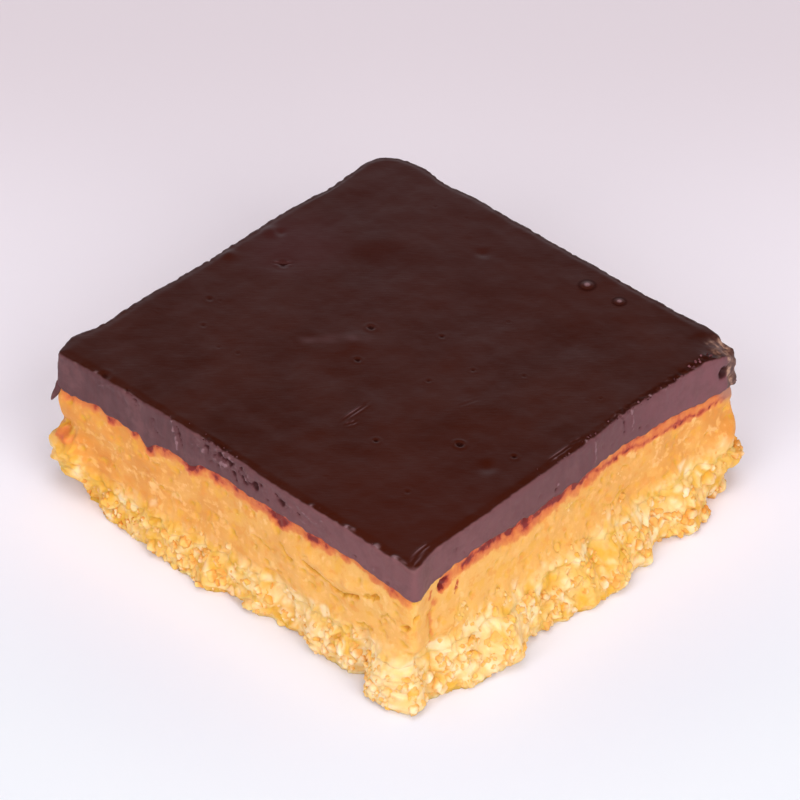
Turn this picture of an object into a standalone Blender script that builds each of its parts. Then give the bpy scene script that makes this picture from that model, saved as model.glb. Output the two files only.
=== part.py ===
"""A square peanut butter bar, cut from a tray: a crumb base, a peanut butter filling and a chocolate top.

Metres, +Z up. The bar rests on z = 0 with its sides along X and Y. Each layer starts as a square sheet that is
extruded upwards row by row, and every point of that block is then moved to its place on the real, uneven layer.
"""

import math
import random

import bmesh
import bpy
from mathutils import Euler, Matrix, Vector, noise

MM = 0.001

# The bar as cut: its plan, its height and the mean thickness of its layers
WIDTH = 54.4 * MM
DEPTH = 53.8 * MM
HEIGHT = 20.5 * MM
BASE_HEIGHT = 5.9 * MM
CHOCOLATE_THICKNESS = 4.85 * MM
LAYER_GAP = 0.3 * MM
PLAN_CENTRE = Vector((1.04 * MM, -0.06 * MM, 0.0))

HALF_X = WIDTH / 2
HALF_Y = DEPTH / 2

# Corner radii in plan: a knife leaves sharp corners, and the tray's own corner is round
KNIFE_CORNER = 0.7 * MM
SQUEEZED_CORNER = 1.1 * MM
CRUMBLED_CORNER = 3.2 * MM
FIRM_CORNER = 1.3 * MM
TRAY_CORNER = 4.2 * MM

# Where a wall stands out of the straight: wall, place along it, height, half-width, half-height and outward shift
FULL_HEIGHT = 80 * MM
KNIFE_WANDERS = (
    ("right", -26.6 * MM, 10 * MM, 2.3 * MM, FULL_HEIGHT, 0.95 * MM),
    ("right", 9.5 * MM, 10 * MM, 5.0 * MM, FULL_HEIGHT, -0.55 * MM),
    ("right", 25.5 * MM, 10 * MM, 3.5 * MM, FULL_HEIGHT, 0.6 * MM),
    ("back", 25.5 * MM, 10 * MM, 3.5 * MM, FULL_HEIGHT, 0.3 * MM),
    ("left", -14.0 * MM, 10 * MM, 9.0 * MM, FULL_HEIGHT, 0.35 * MM),
    ("left", 16.5 * MM, 10 * MM, 4.0 * MM, FULL_HEIGHT, -0.45 * MM),
    ("front", -26.0 * MM, 10 * MM, 3.0 * MM, FULL_HEIGHT, 0.30 * MM),
    ("front", -2.0 * MM, 10 * MM, 5.0 * MM, FULL_HEIGHT, -0.25 * MM),
    ("back", -16.5 * MM, 10 * MM, 2.2 * MM, FULL_HEIGHT, -0.45 * MM),
    ("back", -21.0 * MM, 10 * MM, 1.8 * MM, FULL_HEIGHT, 0.35 * MM),
)
FILLING_SWELLINGS = (
    ("front", -26.0 * MM, 6.5 * MM, 3.6 * MM, 2.6 * MM, 1.4 * MM),
    ("left", -25.5 * MM, 6.5 * MM, 4.0 * MM, 2.6 * MM, 1.8 * MM),
    ("right", 25.5 * MM, 6.5 * MM, 4.0 * MM, 2.4 * MM, 1.0 * MM),
    ("front", 12.0 * MM, 12.5 * MM, 7.0 * MM, 2.0 * MM, 0.35 * MM),
    ("left", 8.0 * MM, 9.0 * MM, 7.0 * MM, 3.0 * MM, 0.5 * MM),
    ("back", 6.0 * MM, 9.5 * MM, 8.0 * MM, 3.0 * MM, 0.4 * MM),
)
BASE_SWELLINGS = (
    ("front", -26.5 * MM, 0 * MM, 4.5 * MM, 3.6 * MM, -2.2 * MM),
    ("front", 12.0 * MM, 3 * MM, 6.0 * MM, FULL_HEIGHT, -1.3 * MM),
    ("front", 25.0 * MM, 3 * MM, 4.0 * MM, FULL_HEIGHT, 0.6 * MM),
    ("right", -25.5 * MM, 3 * MM, 5.0 * MM, FULL_HEIGHT, -1.5 * MM),
    ("right", -14.5 * MM, 2 * MM, 3.5 * MM, 3.5 * MM, 1.2 * MM),
    ("right", 1.0 * MM, 2 * MM, 3.0 * MM, 3.5 * MM, 0.5 * MM),
    ("right", 26.5 * MM, 1 * MM, 4.0 * MM, 4.5 * MM, -2.4 * MM),
    ("left", -26.0 * MM, 0 * MM, 6.0 * MM, 3.6 * MM, -1.8 * MM),
)
WALL_WAYS = {"right": (1, 0), "left": (-1, 0), "front": (0, -1), "back": (0, 1)}

# How far the crumb base spreads past each wall of the layers above, and how far it is tucked in at the floor
BASE_SPREAD = {"right": 2.9 * MM, "left": 1.0 * MM, "front": 1.1 * MM, "back": 0.9 * MM}
FLOOR_TUCK = 0.45 * MM
FLOOR_TUCK_HEIGHT = 1.0 * MM
FLOOR_FLATNESS = 0.08 * MM

# Details of the chocolate: bubbles stand proud and pits are sunk, each at a place in plan with a radius
BUBBLES = (
    (8.3 * MM, 23.2 * MM, 0.62 * MM),
    (13.0 * MM, 23.5 * MM, 0.52 * MM),
)
PITS = (
    (10.0 * MM, -13.9 * MM, 0.45 * MM),
    (17.1 * MM, -7.9 * MM, 0.62 * MM),
    (22.9 * MM, -5.3 * MM, 0.36 * MM),
    (7.0 * MM, -2.2 * MM, 0.36 * MM),
    (-4.4 * MM, 0.3 * MM, 0.45 * MM),
    (-1.4 * MM, -5.0 * MM, 0.40 * MM),
)
CHIP_REACH = 4.2 * MM
CHIP_DROP = 1.1 * MM
EDGE_ROLL = 0.28 * MM
EDGE_ROLL_REACH = 2.0 * MM

# The crack along the front of the filling, as distances along the wall and heights
CRACK = (
    (10.2 * MM, 12.1 * MM),
    (12.4 * MM, 11.0 * MM),
    (14.6 * MM, 9.9 * MM),
    (17.0 * MM, 9.7 * MM),
    (19.6 * MM, 10.9 * MM),
)
CRACK_OPENING = 0.42 * MM
CRACK_DEPTH = 1.3 * MM

# The sheet that each layer starts from, and the triangles that its surface ends with
SHEET_COLUMNS = 108
BASE_ROWS = 12
FILLING_ROWS = 12
CHOCOLATE_ROWS = 8
BASE_TRIANGLES = 3300
FILLING_TRIANGLES = 2500
CHOCOLATE_TRIANGLES = 2500
LOOSE_CRUMBS = 108


def smooth(t):
    """Eases from 0 to 1."""
    t = min(1.0, max(0.0, t))
    return t * t * (3 - 2 * t)


def wave(x, y, z, size, seed):
    """Smooth noise from -1 to 1, with swells of about this size."""
    shift = 11.7 * seed
    return noise.noise(Vector((x / size + shift, y / size - shift, z / size + 0.37 * shift)))


def pebbles(x, y, z, size, seed):
    """From 0 in the crevices between crumbs of this size to 1 on their crowns."""
    shift = 5.3 * seed
    near, next_near = noise.voronoi(Vector((x / size + shift, y / size, z / size - shift)))[0][:2]
    return smooth(2.2 * (next_near - near)) * (1 - 0.55 * near)


def plan(a, b, radii):
    """Takes a point of the unit sheet to the plan: its place, the way out through the nearest wall, and how far in it is.

    radii holds the corner radius for each pair of (right of centre, back of centre).
    """
    x, y = a * HALF_X, b * HALF_Y
    radius = radii[(a > 0, b > 0)]
    over_x, over_y = abs(x) - HALF_X + radius, abs(y) - HALF_Y + radius
    side_x, side_y = math.copysign(1, x), math.copysign(1, y)
    if over_x > 0 and over_y > 0:
        reach, length = max(over_x, over_y), math.hypot(over_x, over_y)
        out = (over_x / length, over_y / length)
        x = side_x * (HALF_X - radius + reach * out[0])
        y = side_y * (HALF_Y - radius + reach * out[1])
        return x, y, side_x * out[0], side_y * out[1], radius - reach
    if over_x - radius > over_y - radius:
        return x, y, side_x, 0.0, HALF_X - abs(x)
    return x, y, 0.0, side_y, HALF_Y - abs(y)


def swelling(table, x, y, z, out_x, out_y):
    """How far the shifts of this table push the wall out here."""
    total = 0.0
    for wall, place, height, half_width, half_height, shift in table:
        way_x, way_y = WALL_WAYS[wall]
        facing = max(0.0, out_x * way_x + out_y * way_y)
        along = y if way_x else x
        total += shift * facing * math.exp(-(((along - place) / half_width) ** 2) - ((z - height) / half_height) ** 2)
    return total


def wander(x, y, z, out_x, out_y):
    """How far the cut wall stands out of the straight line here."""
    return swelling(KNIFE_WANDERS, x, y, z, out_x, out_y) + 0.22 * MM * wave(x, y, 0, 9 * MM, 1)


def spread(out_x, out_y):
    """How far the base spreads past the wall that faces this way."""
    return sum(
        BASE_SPREAD[wall] * max(0.0, out_x * way[0] + out_y * way[1]) ** 2 for wall, way in WALL_WAYS.items()
    )


def under_chocolate(x, y):
    """Height of the middle of the seam between filling and chocolate."""
    u, v = x / HALF_X, y / HALF_Y
    thickness = CHOCOLATE_THICKNESS + MM * (-0.15 * u + 0.45 * v + 0.45 * u * v - 0.7 * (1 - u * u * v * v))
    return HEIGHT - thickness + 0.32 * MM * wave(x, y, 0, 4.5 * MM, 2)


def under_filling(x, y):
    """Height of the middle of the seam between base and filling."""
    u, v = x / HALF_X, y / HALF_Y
    return BASE_HEIGHT + MM * (0.65 * u + 0.5 * v - 0.25 * u * v) + 0.5 * MM * wave(x, y, 0, 7 * MM, 3)


def chipped(x, y):
    """From 0 to 1 towards the broken corner at the right and back."""
    away = math.hypot(HALF_X - x, HALF_Y - y) + 0.9 * MM * wave(x, y, 0, 2.2 * MM, 4)
    return smooth(1 - away / CHIP_REACH)


def top_of_bar(x, y, inside):
    """Height of the poured chocolate: nearly flat, rolling down a little towards the cut walls."""
    roll = EDGE_ROLL * (1 - smooth(inside / EDGE_ROLL_REACH))
    swell = 0.14 * MM * wave(x, y, 0, 15 * MM, 5) + 0.05 * MM * wave(x, y, 0, 4 * MM, 6)
    broken = CHIP_DROP * chipped(x, y) * (1 + 0.4 * wave(x, y, 0, 1.3 * MM, 7))
    return HEIGHT - 0.1 * MM - roll + swell - broken


def chocolate_point(a, b, c):
    """A point of the chocolate: a and b across the sheet, c from its underside to its top."""
    x, y, out_x, out_y, inside = plan(a, b, CHOCOLATE_CORNERS)
    low, high = under_chocolate(x, y) + LAYER_GAP / 2, top_of_bar(x, y, inside)
    z = low + (high - low) * c
    flare = 0.3 * MM * (1 - c)
    ribs = 0.07 * MM * wave(x, y, 0.25 * z, 1.3 * MM, 8)
    edge = 0.2 * MM * smooth((z - high + 0.5 * MM) / (0.5 * MM))
    out = (wander(x, y, z, out_x, out_y) + flare + ribs - edge) * (1 - smooth(inside / (1.5 * MM)))
    return Vector((x + out_x * out, y + out_y * out, z))


def filling_point(a, b, c):
    """A point of the filling: a and b across the sheet, c from its underside to its top."""
    x, y, out_x, out_y, inside = plan(a, b, FILLING_CORNERS)
    low, high = under_filling(x, y) + LAYER_GAP / 2, under_chocolate(x, y) - LAYER_GAP / 2
    z = low + (high - low) * c
    swells = 0.3 * MM * wave(x, y, z, 6 * MM, 9) + 0.16 * MM * wave(x, y, z, 2.2 * MM, 10)
    tuck = 0.25 * MM * smooth(3 * c - 2)
    lower = spread(out_x, out_y) * 0.3 * (1 - smooth(2.2 * c))
    pushed = swelling(FILLING_SWELLINGS, x, y, z, out_x, out_y) + 0.8 * wander(x, y, z, out_x, out_y)
    out = (pushed + swells - tuck + lower) * (1 - smooth(inside / (1.5 * MM)))
    return Vector((x + out_x * out, y + out_y * out, z))


def base_point(a, b, c):
    """A point of the base: a and b across the sheet, c from the floor to the filling."""
    x, y, out_x, out_y, inside = plan(a, b, BASE_CORNERS)
    z = (under_filling(x, y) - LAYER_GAP / 2) * c
    bulge = spread(out_x, out_y) * (1 - smooth(1.15 * c - 0.1)) * (1 + 0.5 * wave(x, y, 0, 8 * MM, 11))
    lumps = 0.75 * MM * wave(x, y, z, 3.2 * MM, 12) + 0.55 * MM * (pebbles(x, y, z, 2.1 * MM, 13) - 0.5)
    tuck = FLOOR_TUCK * smooth(1 - z / FLOOR_TUCK_HEIGHT)
    pushed = swelling(BASE_SWELLINGS, x, y, z, out_x, out_y) + 0.5 * wander(x, y, z, out_x, out_y)
    out = (pushed + bulge + lumps - tuck) * (1 - smooth(inside / (2.5 * MM)))
    return Vector((x + out_x * out, y + out_y * out, z))


def corner_radii(usual, right_front=None):
    """The corner radius for each (right of centre, back of centre): one is the tray's and one can be set apart."""
    radii = {(right, back): usual for right in (False, True) for back in (False, True)}
    radii[(False, True)] = TRAY_CORNER
    if right_front:
        radii[(True, False)] = right_front
    return radii


CHOCOLATE_CORNERS = corner_radii(KNIFE_CORNER)
FILLING_CORNERS = corner_radii(SQUEEZED_CORNER)
BASE_CORNERS = corner_radii(CRUMBLED_CORNER, FIRM_CORNER)


def material(name, colour, roughness):
    """A Principled material."""
    made = bpy.data.materials.new(name)
    made.use_nodes = True
    shader = made.node_tree.nodes["Principled BSDF"]
    shader.inputs["Base Color"].default_value = (*colour, 1)
    shader.inputs["Roughness"].default_value = roughness
    made.diffuse_color = (*colour, 1)
    return made


def placed(name, bm, finish=None):
    """Puts a finished bmesh into the scene as an object."""
    mesh = bpy.data.meshes.new(name)
    bm.to_mesh(mesh)
    bm.free()
    if finish:
        mesh.materials.append(finish)
    obj = bpy.data.objects.new(name, mesh)
    bpy.context.scene.collection.objects.link(obj)
    return obj


def block(rows):
    """A unit sheet extruded upwards row by row into a closed block."""
    bm = bmesh.new()
    bmesh.ops.create_grid(bm, x_segments=SHEET_COLUMNS, y_segments=SHEET_COLUMNS, size=1)
    faces = bm.faces[:]
    for row in range(rows):
        made = bmesh.ops.extrude_face_region(bm, geom=faces)["geom"]
        if row > 0:
            bmesh.ops.delete(bm, geom=faces, context="FACES")
        faces = [part for part in made if isinstance(part, bmesh.types.BMFace)]
        lifted = [part for part in made if isinstance(part, bmesh.types.BMVert)]
        bmesh.ops.translate(bm, vec=(0, 0, 1 / rows), verts=lifted)
    bmesh.ops.recalc_face_normals(bm, faces=bm.faces[:])
    return bm


def layer(name, place, rows, triangles, finish):
    """A block whose points are moved by the layer's rule, then thinned to this many triangles."""
    bm = block(rows)
    for vertex in bm.verts:
        vertex.co = place(*vertex.co)
    bmesh.ops.triangulate(bm, faces=bm.faces[:])
    share = triangles / len(bm.faces)
    obj = placed(name, bm, finish)
    thinning = obj.modifiers.new("thinned", "DECIMATE")
    thinning.ratio = share
    return obj


def settle(obj):
    """Applies the object's modifiers."""
    graph = bpy.context.evaluated_depsgraph_get()
    old = obj.data
    obj.data = bpy.data.meshes.new_from_object(obj.evaluated_get(graph))
    obj.data.name = obj.name
    obj.modifiers.clear()
    bpy.data.meshes.remove(old)


def joined(obj, pieces, operation):
    """Joins these pieces to the object, or cuts them from it, in one Boolean on a collection that is then removed."""
    tray = bpy.data.collections.new("pieces")
    bpy.context.scene.collection.children.link(tray)
    for piece in pieces:
        bpy.context.scene.collection.objects.unlink(piece)
        tray.objects.link(piece)
    boolean = obj.modifiers.new(operation, "BOOLEAN")
    boolean.operation = operation
    boolean.operand_type = "COLLECTION"
    boolean.collection = tray
    boolean.solver = "EXACT"
    settle(obj)
    for piece in pieces:
        bpy.data.objects.remove(piece)
    bpy.data.collections.remove(tray)


def ball(name, centre, radius, stretch=(1, 1, 1), turn=(0, 0, 0), finish=None, detail=1):
    """A faceted ball, stretched and turned."""
    bm = bmesh.new()
    bmesh.ops.create_icosphere(bm, subdivisions=detail, radius=radius)
    way = Matrix.Translation(centre) @ Euler(turn).to_matrix().to_4x4() @ Matrix.Diagonal((*stretch, 1))
    bmesh.ops.transform(bm, matrix=way, verts=bm.verts[:])
    return placed(name, bm, finish)


def edge_of_sheet(t):
    """The point of the unit sheet's edge at t, where each whole number is a corner."""
    side, along = int(t) % 4, 2 * (t % 1) - 1
    return ((along, -1.0), (1.0, along), (-along, 1.0), (-1.0, -along))[side]


def crumbs(finish):
    """Larger crumbs of the base, half sunk in its wall, clear of the floor and of the filling."""
    rng = random.Random(21)
    made = []
    for number in range(LOOSE_CRUMBS):
        a, b = edge_of_sheet(rng.uniform(0, 4))
        radius = rng.uniform(0.55, 1.0) * MM * (1.25 if rng.random() < 0.2 else 1.0)
        wall = base_point(a, b, rng.uniform(0.1, 0.85))
        _, _, out_x, out_y, _ = plan(a, b, BASE_CORNERS)
        centre = wall - Vector((out_x, out_y, 0)) * radius * rng.uniform(0.1, 0.5)
        ceiling = under_filling(centre.x, centre.y) - LAYER_GAP - radius
        centre.z = min(max(centre.z, radius + 0.1 * MM), ceiling)
        stretch = (1.0, rng.uniform(0.65, 0.95), rng.uniform(0.6, 0.9))
        turn = [rng.uniform(0, math.tau) for _ in range(3)]
        made.append(ball(f"crumb_{number}", centre, radius, stretch, turn, finish))
    return made


def flake(finish):
    """The thin curl of chocolate that hangs from the left front corner: a tapering blade that bends outwards."""
    root, length, half_width, thickness = 1.6 * MM, 5.4 * MM, 1.1 * MM, 0.42 * MM
    top = Vector((-HALF_X - 0.1 * MM, -HALF_Y + 1.0 * MM, under_chocolate(-HALF_X, -HALF_Y) + root))
    steps = 8
    bm = bmesh.new()
    rings = []
    for step in range(steps + 1):
        t = step / steps
        narrow = (1 - t) ** 0.7 + 0.12
        bend = 1.5 * MM * t * t
        centre = top + Vector((-bend, -0.55 * MM * t, -length * t))
        across = Vector((0.25, 1, 0)).normalized() * half_width * narrow
        through = Vector((thickness / 2, 0, 0.15 * MM * t))
        corners = (centre + across + through, centre - across + through)
        corners += (centre - across - through, centre + across - through)
        rings.append([bm.verts.new(corner) for corner in corners])
    for upper, lower in zip(rings, rings[1:]):
        for n in range(4):
            bm.faces.new((upper[n], upper[(n + 1) % 4], lower[(n + 1) % 4], lower[n]))
    bm.faces.new(rings[0])
    bm.faces.new(rings[-1][::-1])
    bmesh.ops.recalc_face_normals(bm, faces=bm.faces[:])
    return placed("flake", bm, finish)


def crack_cutter():
    """A thin zigzag wedge that opens the front of the filling."""
    bm = bmesh.new()
    front, back = -HALF_Y - 2 * MM, -HALF_Y + CRACK_DEPTH
    rings = []
    last = len(CRACK) - 1
    for n, (x, z) in enumerate(CRACK):
        half = CRACK_OPENING / 2 * (0.25 if n in (0, last) else 1.0)
        corners = ((front, half), (back, 0.15 * half), (back, -0.15 * half), (front, -half))
        rings.append([bm.verts.new((x, y, z + rise)) for y, rise in corners])
    for left, right in zip(rings, rings[1:]):
        for n in range(4):
            bm.faces.new((left[n], left[(n + 1) % 4], right[(n + 1) % 4], right[n]))
    bm.faces.new(rings[0])
    bm.faces.new(rings[-1][::-1])
    bmesh.ops.recalc_face_normals(bm, faces=bm.faces[:])
    return placed("crack_cutter", bm)


def make_base():
    """The crumb base, with its larger crumbs fused on."""
    finish = material("crumb", (0.80, 0.49, 0.18), 0.9)
    base = layer("crumb_base", base_point, BASE_ROWS, BASE_TRIANGLES, finish)
    settle(base)
    for vertex in base.data.vertices:
        if vertex.co.z < FLOOR_FLATNESS:
            vertex.co.z = 0.0
    joined(base, crumbs(finish), "UNION")
    return base


def make_filling():
    """The peanut butter filling, with the crack along its front."""
    finish = material("peanut_butter", (0.76, 0.36, 0.09), 0.6)
    filling = layer("peanut_butter_filling", filling_point, FILLING_ROWS, FILLING_TRIANGLES, finish)
    joined(filling, [crack_cutter()], "DIFFERENCE")
    return filling


def make_chocolate():
    """The chocolate top, with its bubbles, its pits and the flake at its corner."""
    finish = material("dark_chocolate", (0.055, 0.018, 0.013), 0.35)
    chocolate = layer("chocolate_top", chocolate_point, CHOCOLATE_ROWS, CHOCOLATE_TRIANGLES, finish)
    proud = [flake(finish)]
    for number, (x, y, radius) in enumerate(BUBBLES):
        centre = Vector((x, y, top_of_bar(x, y, HALF_X) - 0.2 * radius))
        proud.append(ball(f"bubble_{number}", centre, radius, finish=finish, detail=2))
    joined(chocolate, proud, "UNION")
    sunk = []
    for number, (x, y, radius) in enumerate(PITS):
        centre = Vector((x, y, top_of_bar(x, y, HALF_X) + 0.25 * radius))
        sunk.append(ball(f"pit_{number}", centre, radius, (1.3, 1, 1), (0, 0, 0.8), detail=2))
    joined(chocolate, sunk, "DIFFERENCE")
    return chocolate


def main():
    for obj in list(bpy.data.objects):
        bpy.data.objects.remove(obj)
    for node in (make_base(), make_filling(), make_chocolate()):
        node.data.transform(Matrix.Translation(-PLAN_CENTRE))
        node.data.update()


main()
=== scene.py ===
# %% [markdown]
# # A peanut butter bar, from frame to photograph
#
# The bar is one square cut from a tray bake: a crumbly golden base, a thick smooth filling and a poured
# layer of dark chocolate. It is about 55 mm wide and 20 mm high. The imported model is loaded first, as a
# fixed frame that says how big everything is. Each of its plain layers is then replaced by a finely
# shaped one, and the crumbs are scattered last.

# %% Load the frame
import math
import random

import bmesh
import bpy
from mathutils import Euler, Matrix, Vector, noise


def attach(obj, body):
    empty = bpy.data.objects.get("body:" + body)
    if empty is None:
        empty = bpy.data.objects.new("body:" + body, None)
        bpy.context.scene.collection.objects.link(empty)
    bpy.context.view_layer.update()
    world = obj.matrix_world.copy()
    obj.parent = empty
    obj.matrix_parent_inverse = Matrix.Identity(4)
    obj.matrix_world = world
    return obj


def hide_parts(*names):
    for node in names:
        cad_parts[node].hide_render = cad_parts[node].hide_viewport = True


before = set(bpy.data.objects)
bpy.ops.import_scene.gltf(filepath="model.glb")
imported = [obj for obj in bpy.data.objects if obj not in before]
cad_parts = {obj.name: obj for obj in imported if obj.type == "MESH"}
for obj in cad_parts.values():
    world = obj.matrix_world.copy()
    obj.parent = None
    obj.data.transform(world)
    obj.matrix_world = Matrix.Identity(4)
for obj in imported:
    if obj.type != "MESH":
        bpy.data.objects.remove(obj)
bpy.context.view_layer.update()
MM = 0.001

# %% [markdown]
# ## The camera
#
# The photograph looks down at the bar with a long lens, so its sides hardly converge. Matching the four
# corners of the square top gives the lens, the distance and the angle. The camera is placed by its three
# directions, which form a rotation matrix, rather than by aiming it at an empty: that keeps the framing
# exact.

# %% Place the camera
AZIMUTH, ELEVATION = math.radians(43.5), math.radians(39.3)
DISTANCE, LENS, SENSOR = 531 * MM, 210.24, 36
SHIFT_RIGHT, SHIFT_UP = 0.22 * MM, -5.81 * MM
TOP_HEIGHT = 20.5 * MM
PLAN_CENTRE = Vector((1.04 * MM, -0.06 * MM, 0.0))


def way_to(azimuth, elevation):
    """The direction of something seen this far round from the front and this far up."""
    flat = math.cos(elevation)
    return Vector((math.sin(azimuth) * flat, -math.cos(azimuth) * flat, math.sin(elevation)))


towards = way_to(AZIMUTH, ELEVATION)
rightwards = Vector((math.cos(AZIMUTH), math.sin(AZIMUTH), 0))
upwards = towards.cross(rightwards)
middle_of_top = Vector((0.6 * MM, -0.45 * MM, TOP_HEIGHT)) - PLAN_CENTRE

camera = bpy.data.objects.new("camera", bpy.data.cameras.new("camera"))
camera.data.lens, camera.data.sensor_width = LENS, SENSOR
turned = Matrix((rightwards, upwards, towards)).transposed().to_4x4()
eye = middle_of_top + towards * DISTANCE + rightwards * SHIFT_RIGHT + upwards * SHIFT_UP
camera.matrix_world = Matrix.Translation(eye) @ turned
bpy.context.scene.collection.objects.link(camera)
bpy.context.scene.camera = camera
print("camera at", [round(v, 3) for v in eye])

# %% [markdown]
# ## Noise in four flavours
#
# Nothing in a bake repeats, so every surface is broken up by noise. `wave` gives smooth swells. `pebbles`
# gives rounded lumps with creases between them, for broken chocolate. `granules` gives uneven lumps, bent
# out of shape by a wave, and a number of each lump's own, so that some can stand higher or be paler than
# others. `wall_pits` gives round holes, far apart. All of them take a size in metres and a seed, so a
# shape stays the same each time that the script runs.

# %% Noise helpers
def smooth(t):
    """Eases from 0 to 1."""
    t = min(1.0, max(0.0, t))
    return t * t * (3 - 2 * t)


def wave(x, y, z, size, seed):
    """Smooth noise from -1 to 1, with swells of about this size."""
    shift = 11.7 * seed
    return noise.noise(Vector((x / size + shift, y / size - shift, z / size + 0.37 * shift)))


def pebbles(x, y, z, size, seed):
    """From 0 in the crevices between lumps of this size to 1 on their crowns."""
    shift = 5.3 * seed
    near, next_near = noise.voronoi(Vector((x / size + shift, y / size, z / size - shift)))[0][:2]
    return smooth(2.2 * (next_near - near)) * (1 - 0.55 * near)


def own_number(place):
    """A number from 0 to 1 that belongs to the lump whose middle is at this place."""
    return noise.cell(place * 7.3)


def granules(x, y, z, size, seed):
    """Uneven granules of this size: how high the surface stands here, and the granule's own number."""
    shift, pull = 5.3 * seed, 0.3 * size * wave(x, y, z, 0.7 * size, seed)
    spot = Vector(((x + pull) / size + shift, (y + pull) / size, (z + pull) / size - shift))
    near, places = noise.voronoi(spot)
    return smooth(1.6 * (near[1] - near[0])) * smooth(1.35 - 1.4 * near[0]), own_number(places[0])


def wall_pits(x, y, z, size, seed, share):
    """Deep in sparse round pits of this size and 0 elsewhere: share is the part of the cells that have one."""
    shift = 3.1 * seed
    near, places = noise.voronoi(Vector((x / size + shift, y / size - shift, z / size)))
    return 0.0 if own_number(places[0]) > share else bell(near[0], 0.28)


def bell(distance, radius):
    """1 at no distance, fading to nothing at about twice this radius."""
    return math.exp(-((distance / radius) ** 2))


def to_line(px, py, ax, ay, bx, by):
    """Distance from a point to the stretch between two others, and how far along it the nearest point is."""
    dx, dy = bx - ax, by - ay
    length = dx * dx + dy * dy
    t = min(1.0, max(0.0, ((px - ax) * dx + (py - ay) * dy) / length)) if length else 0.5
    return math.hypot(px - ax - t * dx, py - ay - t * dy), t


print("noise ready, such as", round(wave(0, 0, 0, 3 * MM, 1), 3))

# %% [markdown]
# ## The plan of the bar
#
# Seen from above, three corners were cut with a knife and are sharp, and the fourth is the tray's own
# round corner. The cuts wander by up to a millimetre, and the crumb base spreads past them. These shifts
# are written down as tables, with one row for each place of a wall that stands out or in: the wall, the
# place along it, its half width and the millimetres that it is moved. `SEAM_DIPS` tells in the same way
# where the chocolate reaches further down. Rows for the swells of the lower walls also hold a height and
# a half height. A half height of 80 mm reaches over the whole wall.

# %% Sizes of the plan
HALF_X, HALF_Y = 27.2 * MM, 26.9 * MM
HEIGHT, BASE_HEIGHT = TOP_HEIGHT, 5.9 * MM
CHOCOLATE_THICKNESS = 4.85 * MM
WALL_WAYS = {"right": (1, 0), "left": (-1, 0), "front": (0, -1), "back": (0, 1)}
BASE_SPREAD = {"right": 2.9 * MM, "left": 1.0 * MM, "front": 1.1 * MM, "back": 0.9 * MM}
TRAY_CORNER = (False, True)
TRAY_RADIUS = 4.2 * MM
KNIFE_WANDERS = (
    ("right", -26.6, 2.3, 0.95), ("right", 9.5, 5.0, -0.55), ("right", 25.5, 3.5, 0.6),
    ("back", 25.5, 3.5, 0.3), ("left", -14.0, 9.0, 0.28), ("left", 16.5, 4.0, -0.45),
    ("front", -26.0, 3.0, 0.3), ("front", -2.0, 5.0, -0.25), ("back", -16.5, 2.2, -0.45),
    ("back", -21.0, 1.8, 0.35), ("left", -24.0, 2.5, 0.9),
)
SEAM_DIPS = (
    ("front", -12.5, 6.5, 0.75), ("right", -5.5, 6.0, 0.55), ("front", 27.0, 1.3, 0.7),
    ("front", -19.3, 0.8, 0.3), ("front", -15.5, 0.6, 0.25), ("front", -13.1, 1.0, 1.1),
    ("front", -6.3, 1.2, 0.75), ("front", 7.3, 0.9, 0.3), ("front", 12.2, 0.6, 0.25),
    ("right", -21.7, 1.4, -0.45), ("right", -10.4, 0.8, 0.3), ("right", -8.0, 0.6, 0.3),
    ("right", -2.4, 0.8, 0.25), ("right", 0.6, 0.9, 0.35), ("right", 12.0, 1.0, 0.3),
    ("right", 21.0, 1.4, 0.25), ("left", -17.0, 3.0, 0.6), ("left", -4.0, 1.0, 0.5),
    ("left", 6.0, 1.4, 0.7), ("left", 13.0, 0.8, 0.4), ("back", -12.0, 1.2, 0.5), ("back", -2.0, 4.0, 0.6),
    ("back", 9.0, 0.9, 0.5), ("back", 19.0, 1.5, 0.6),
)
FILLING_SWELLINGS = (
    ("front", -26.0, 6.2, 3.4, 2.3, 1.5), ("left", -25.5, 6.2, 3.8, 2.3, 1.8),
    ("right", 26.5, 7.0, 3.0, 2.6, 0.8), ("front", -26.5, 13.6, 2.5, 2.0, 0.45),
    ("left", -26.5, 13.6, 2.5, 2.0, 0.45), ("front", -26.3, 10.4, 1.4, 0.6, -0.3),
    ("left", -26.3, 10.4, 1.4, 0.6, -0.3), ("front", 12.0, 12.5, 7.0, 2.0, 0.35),
    ("left", 8.0, 9.0, 7.0, 3.0, 0.5), ("back", 6.0, 9.5, 8.0, 3.0, 0.4),
)
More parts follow.
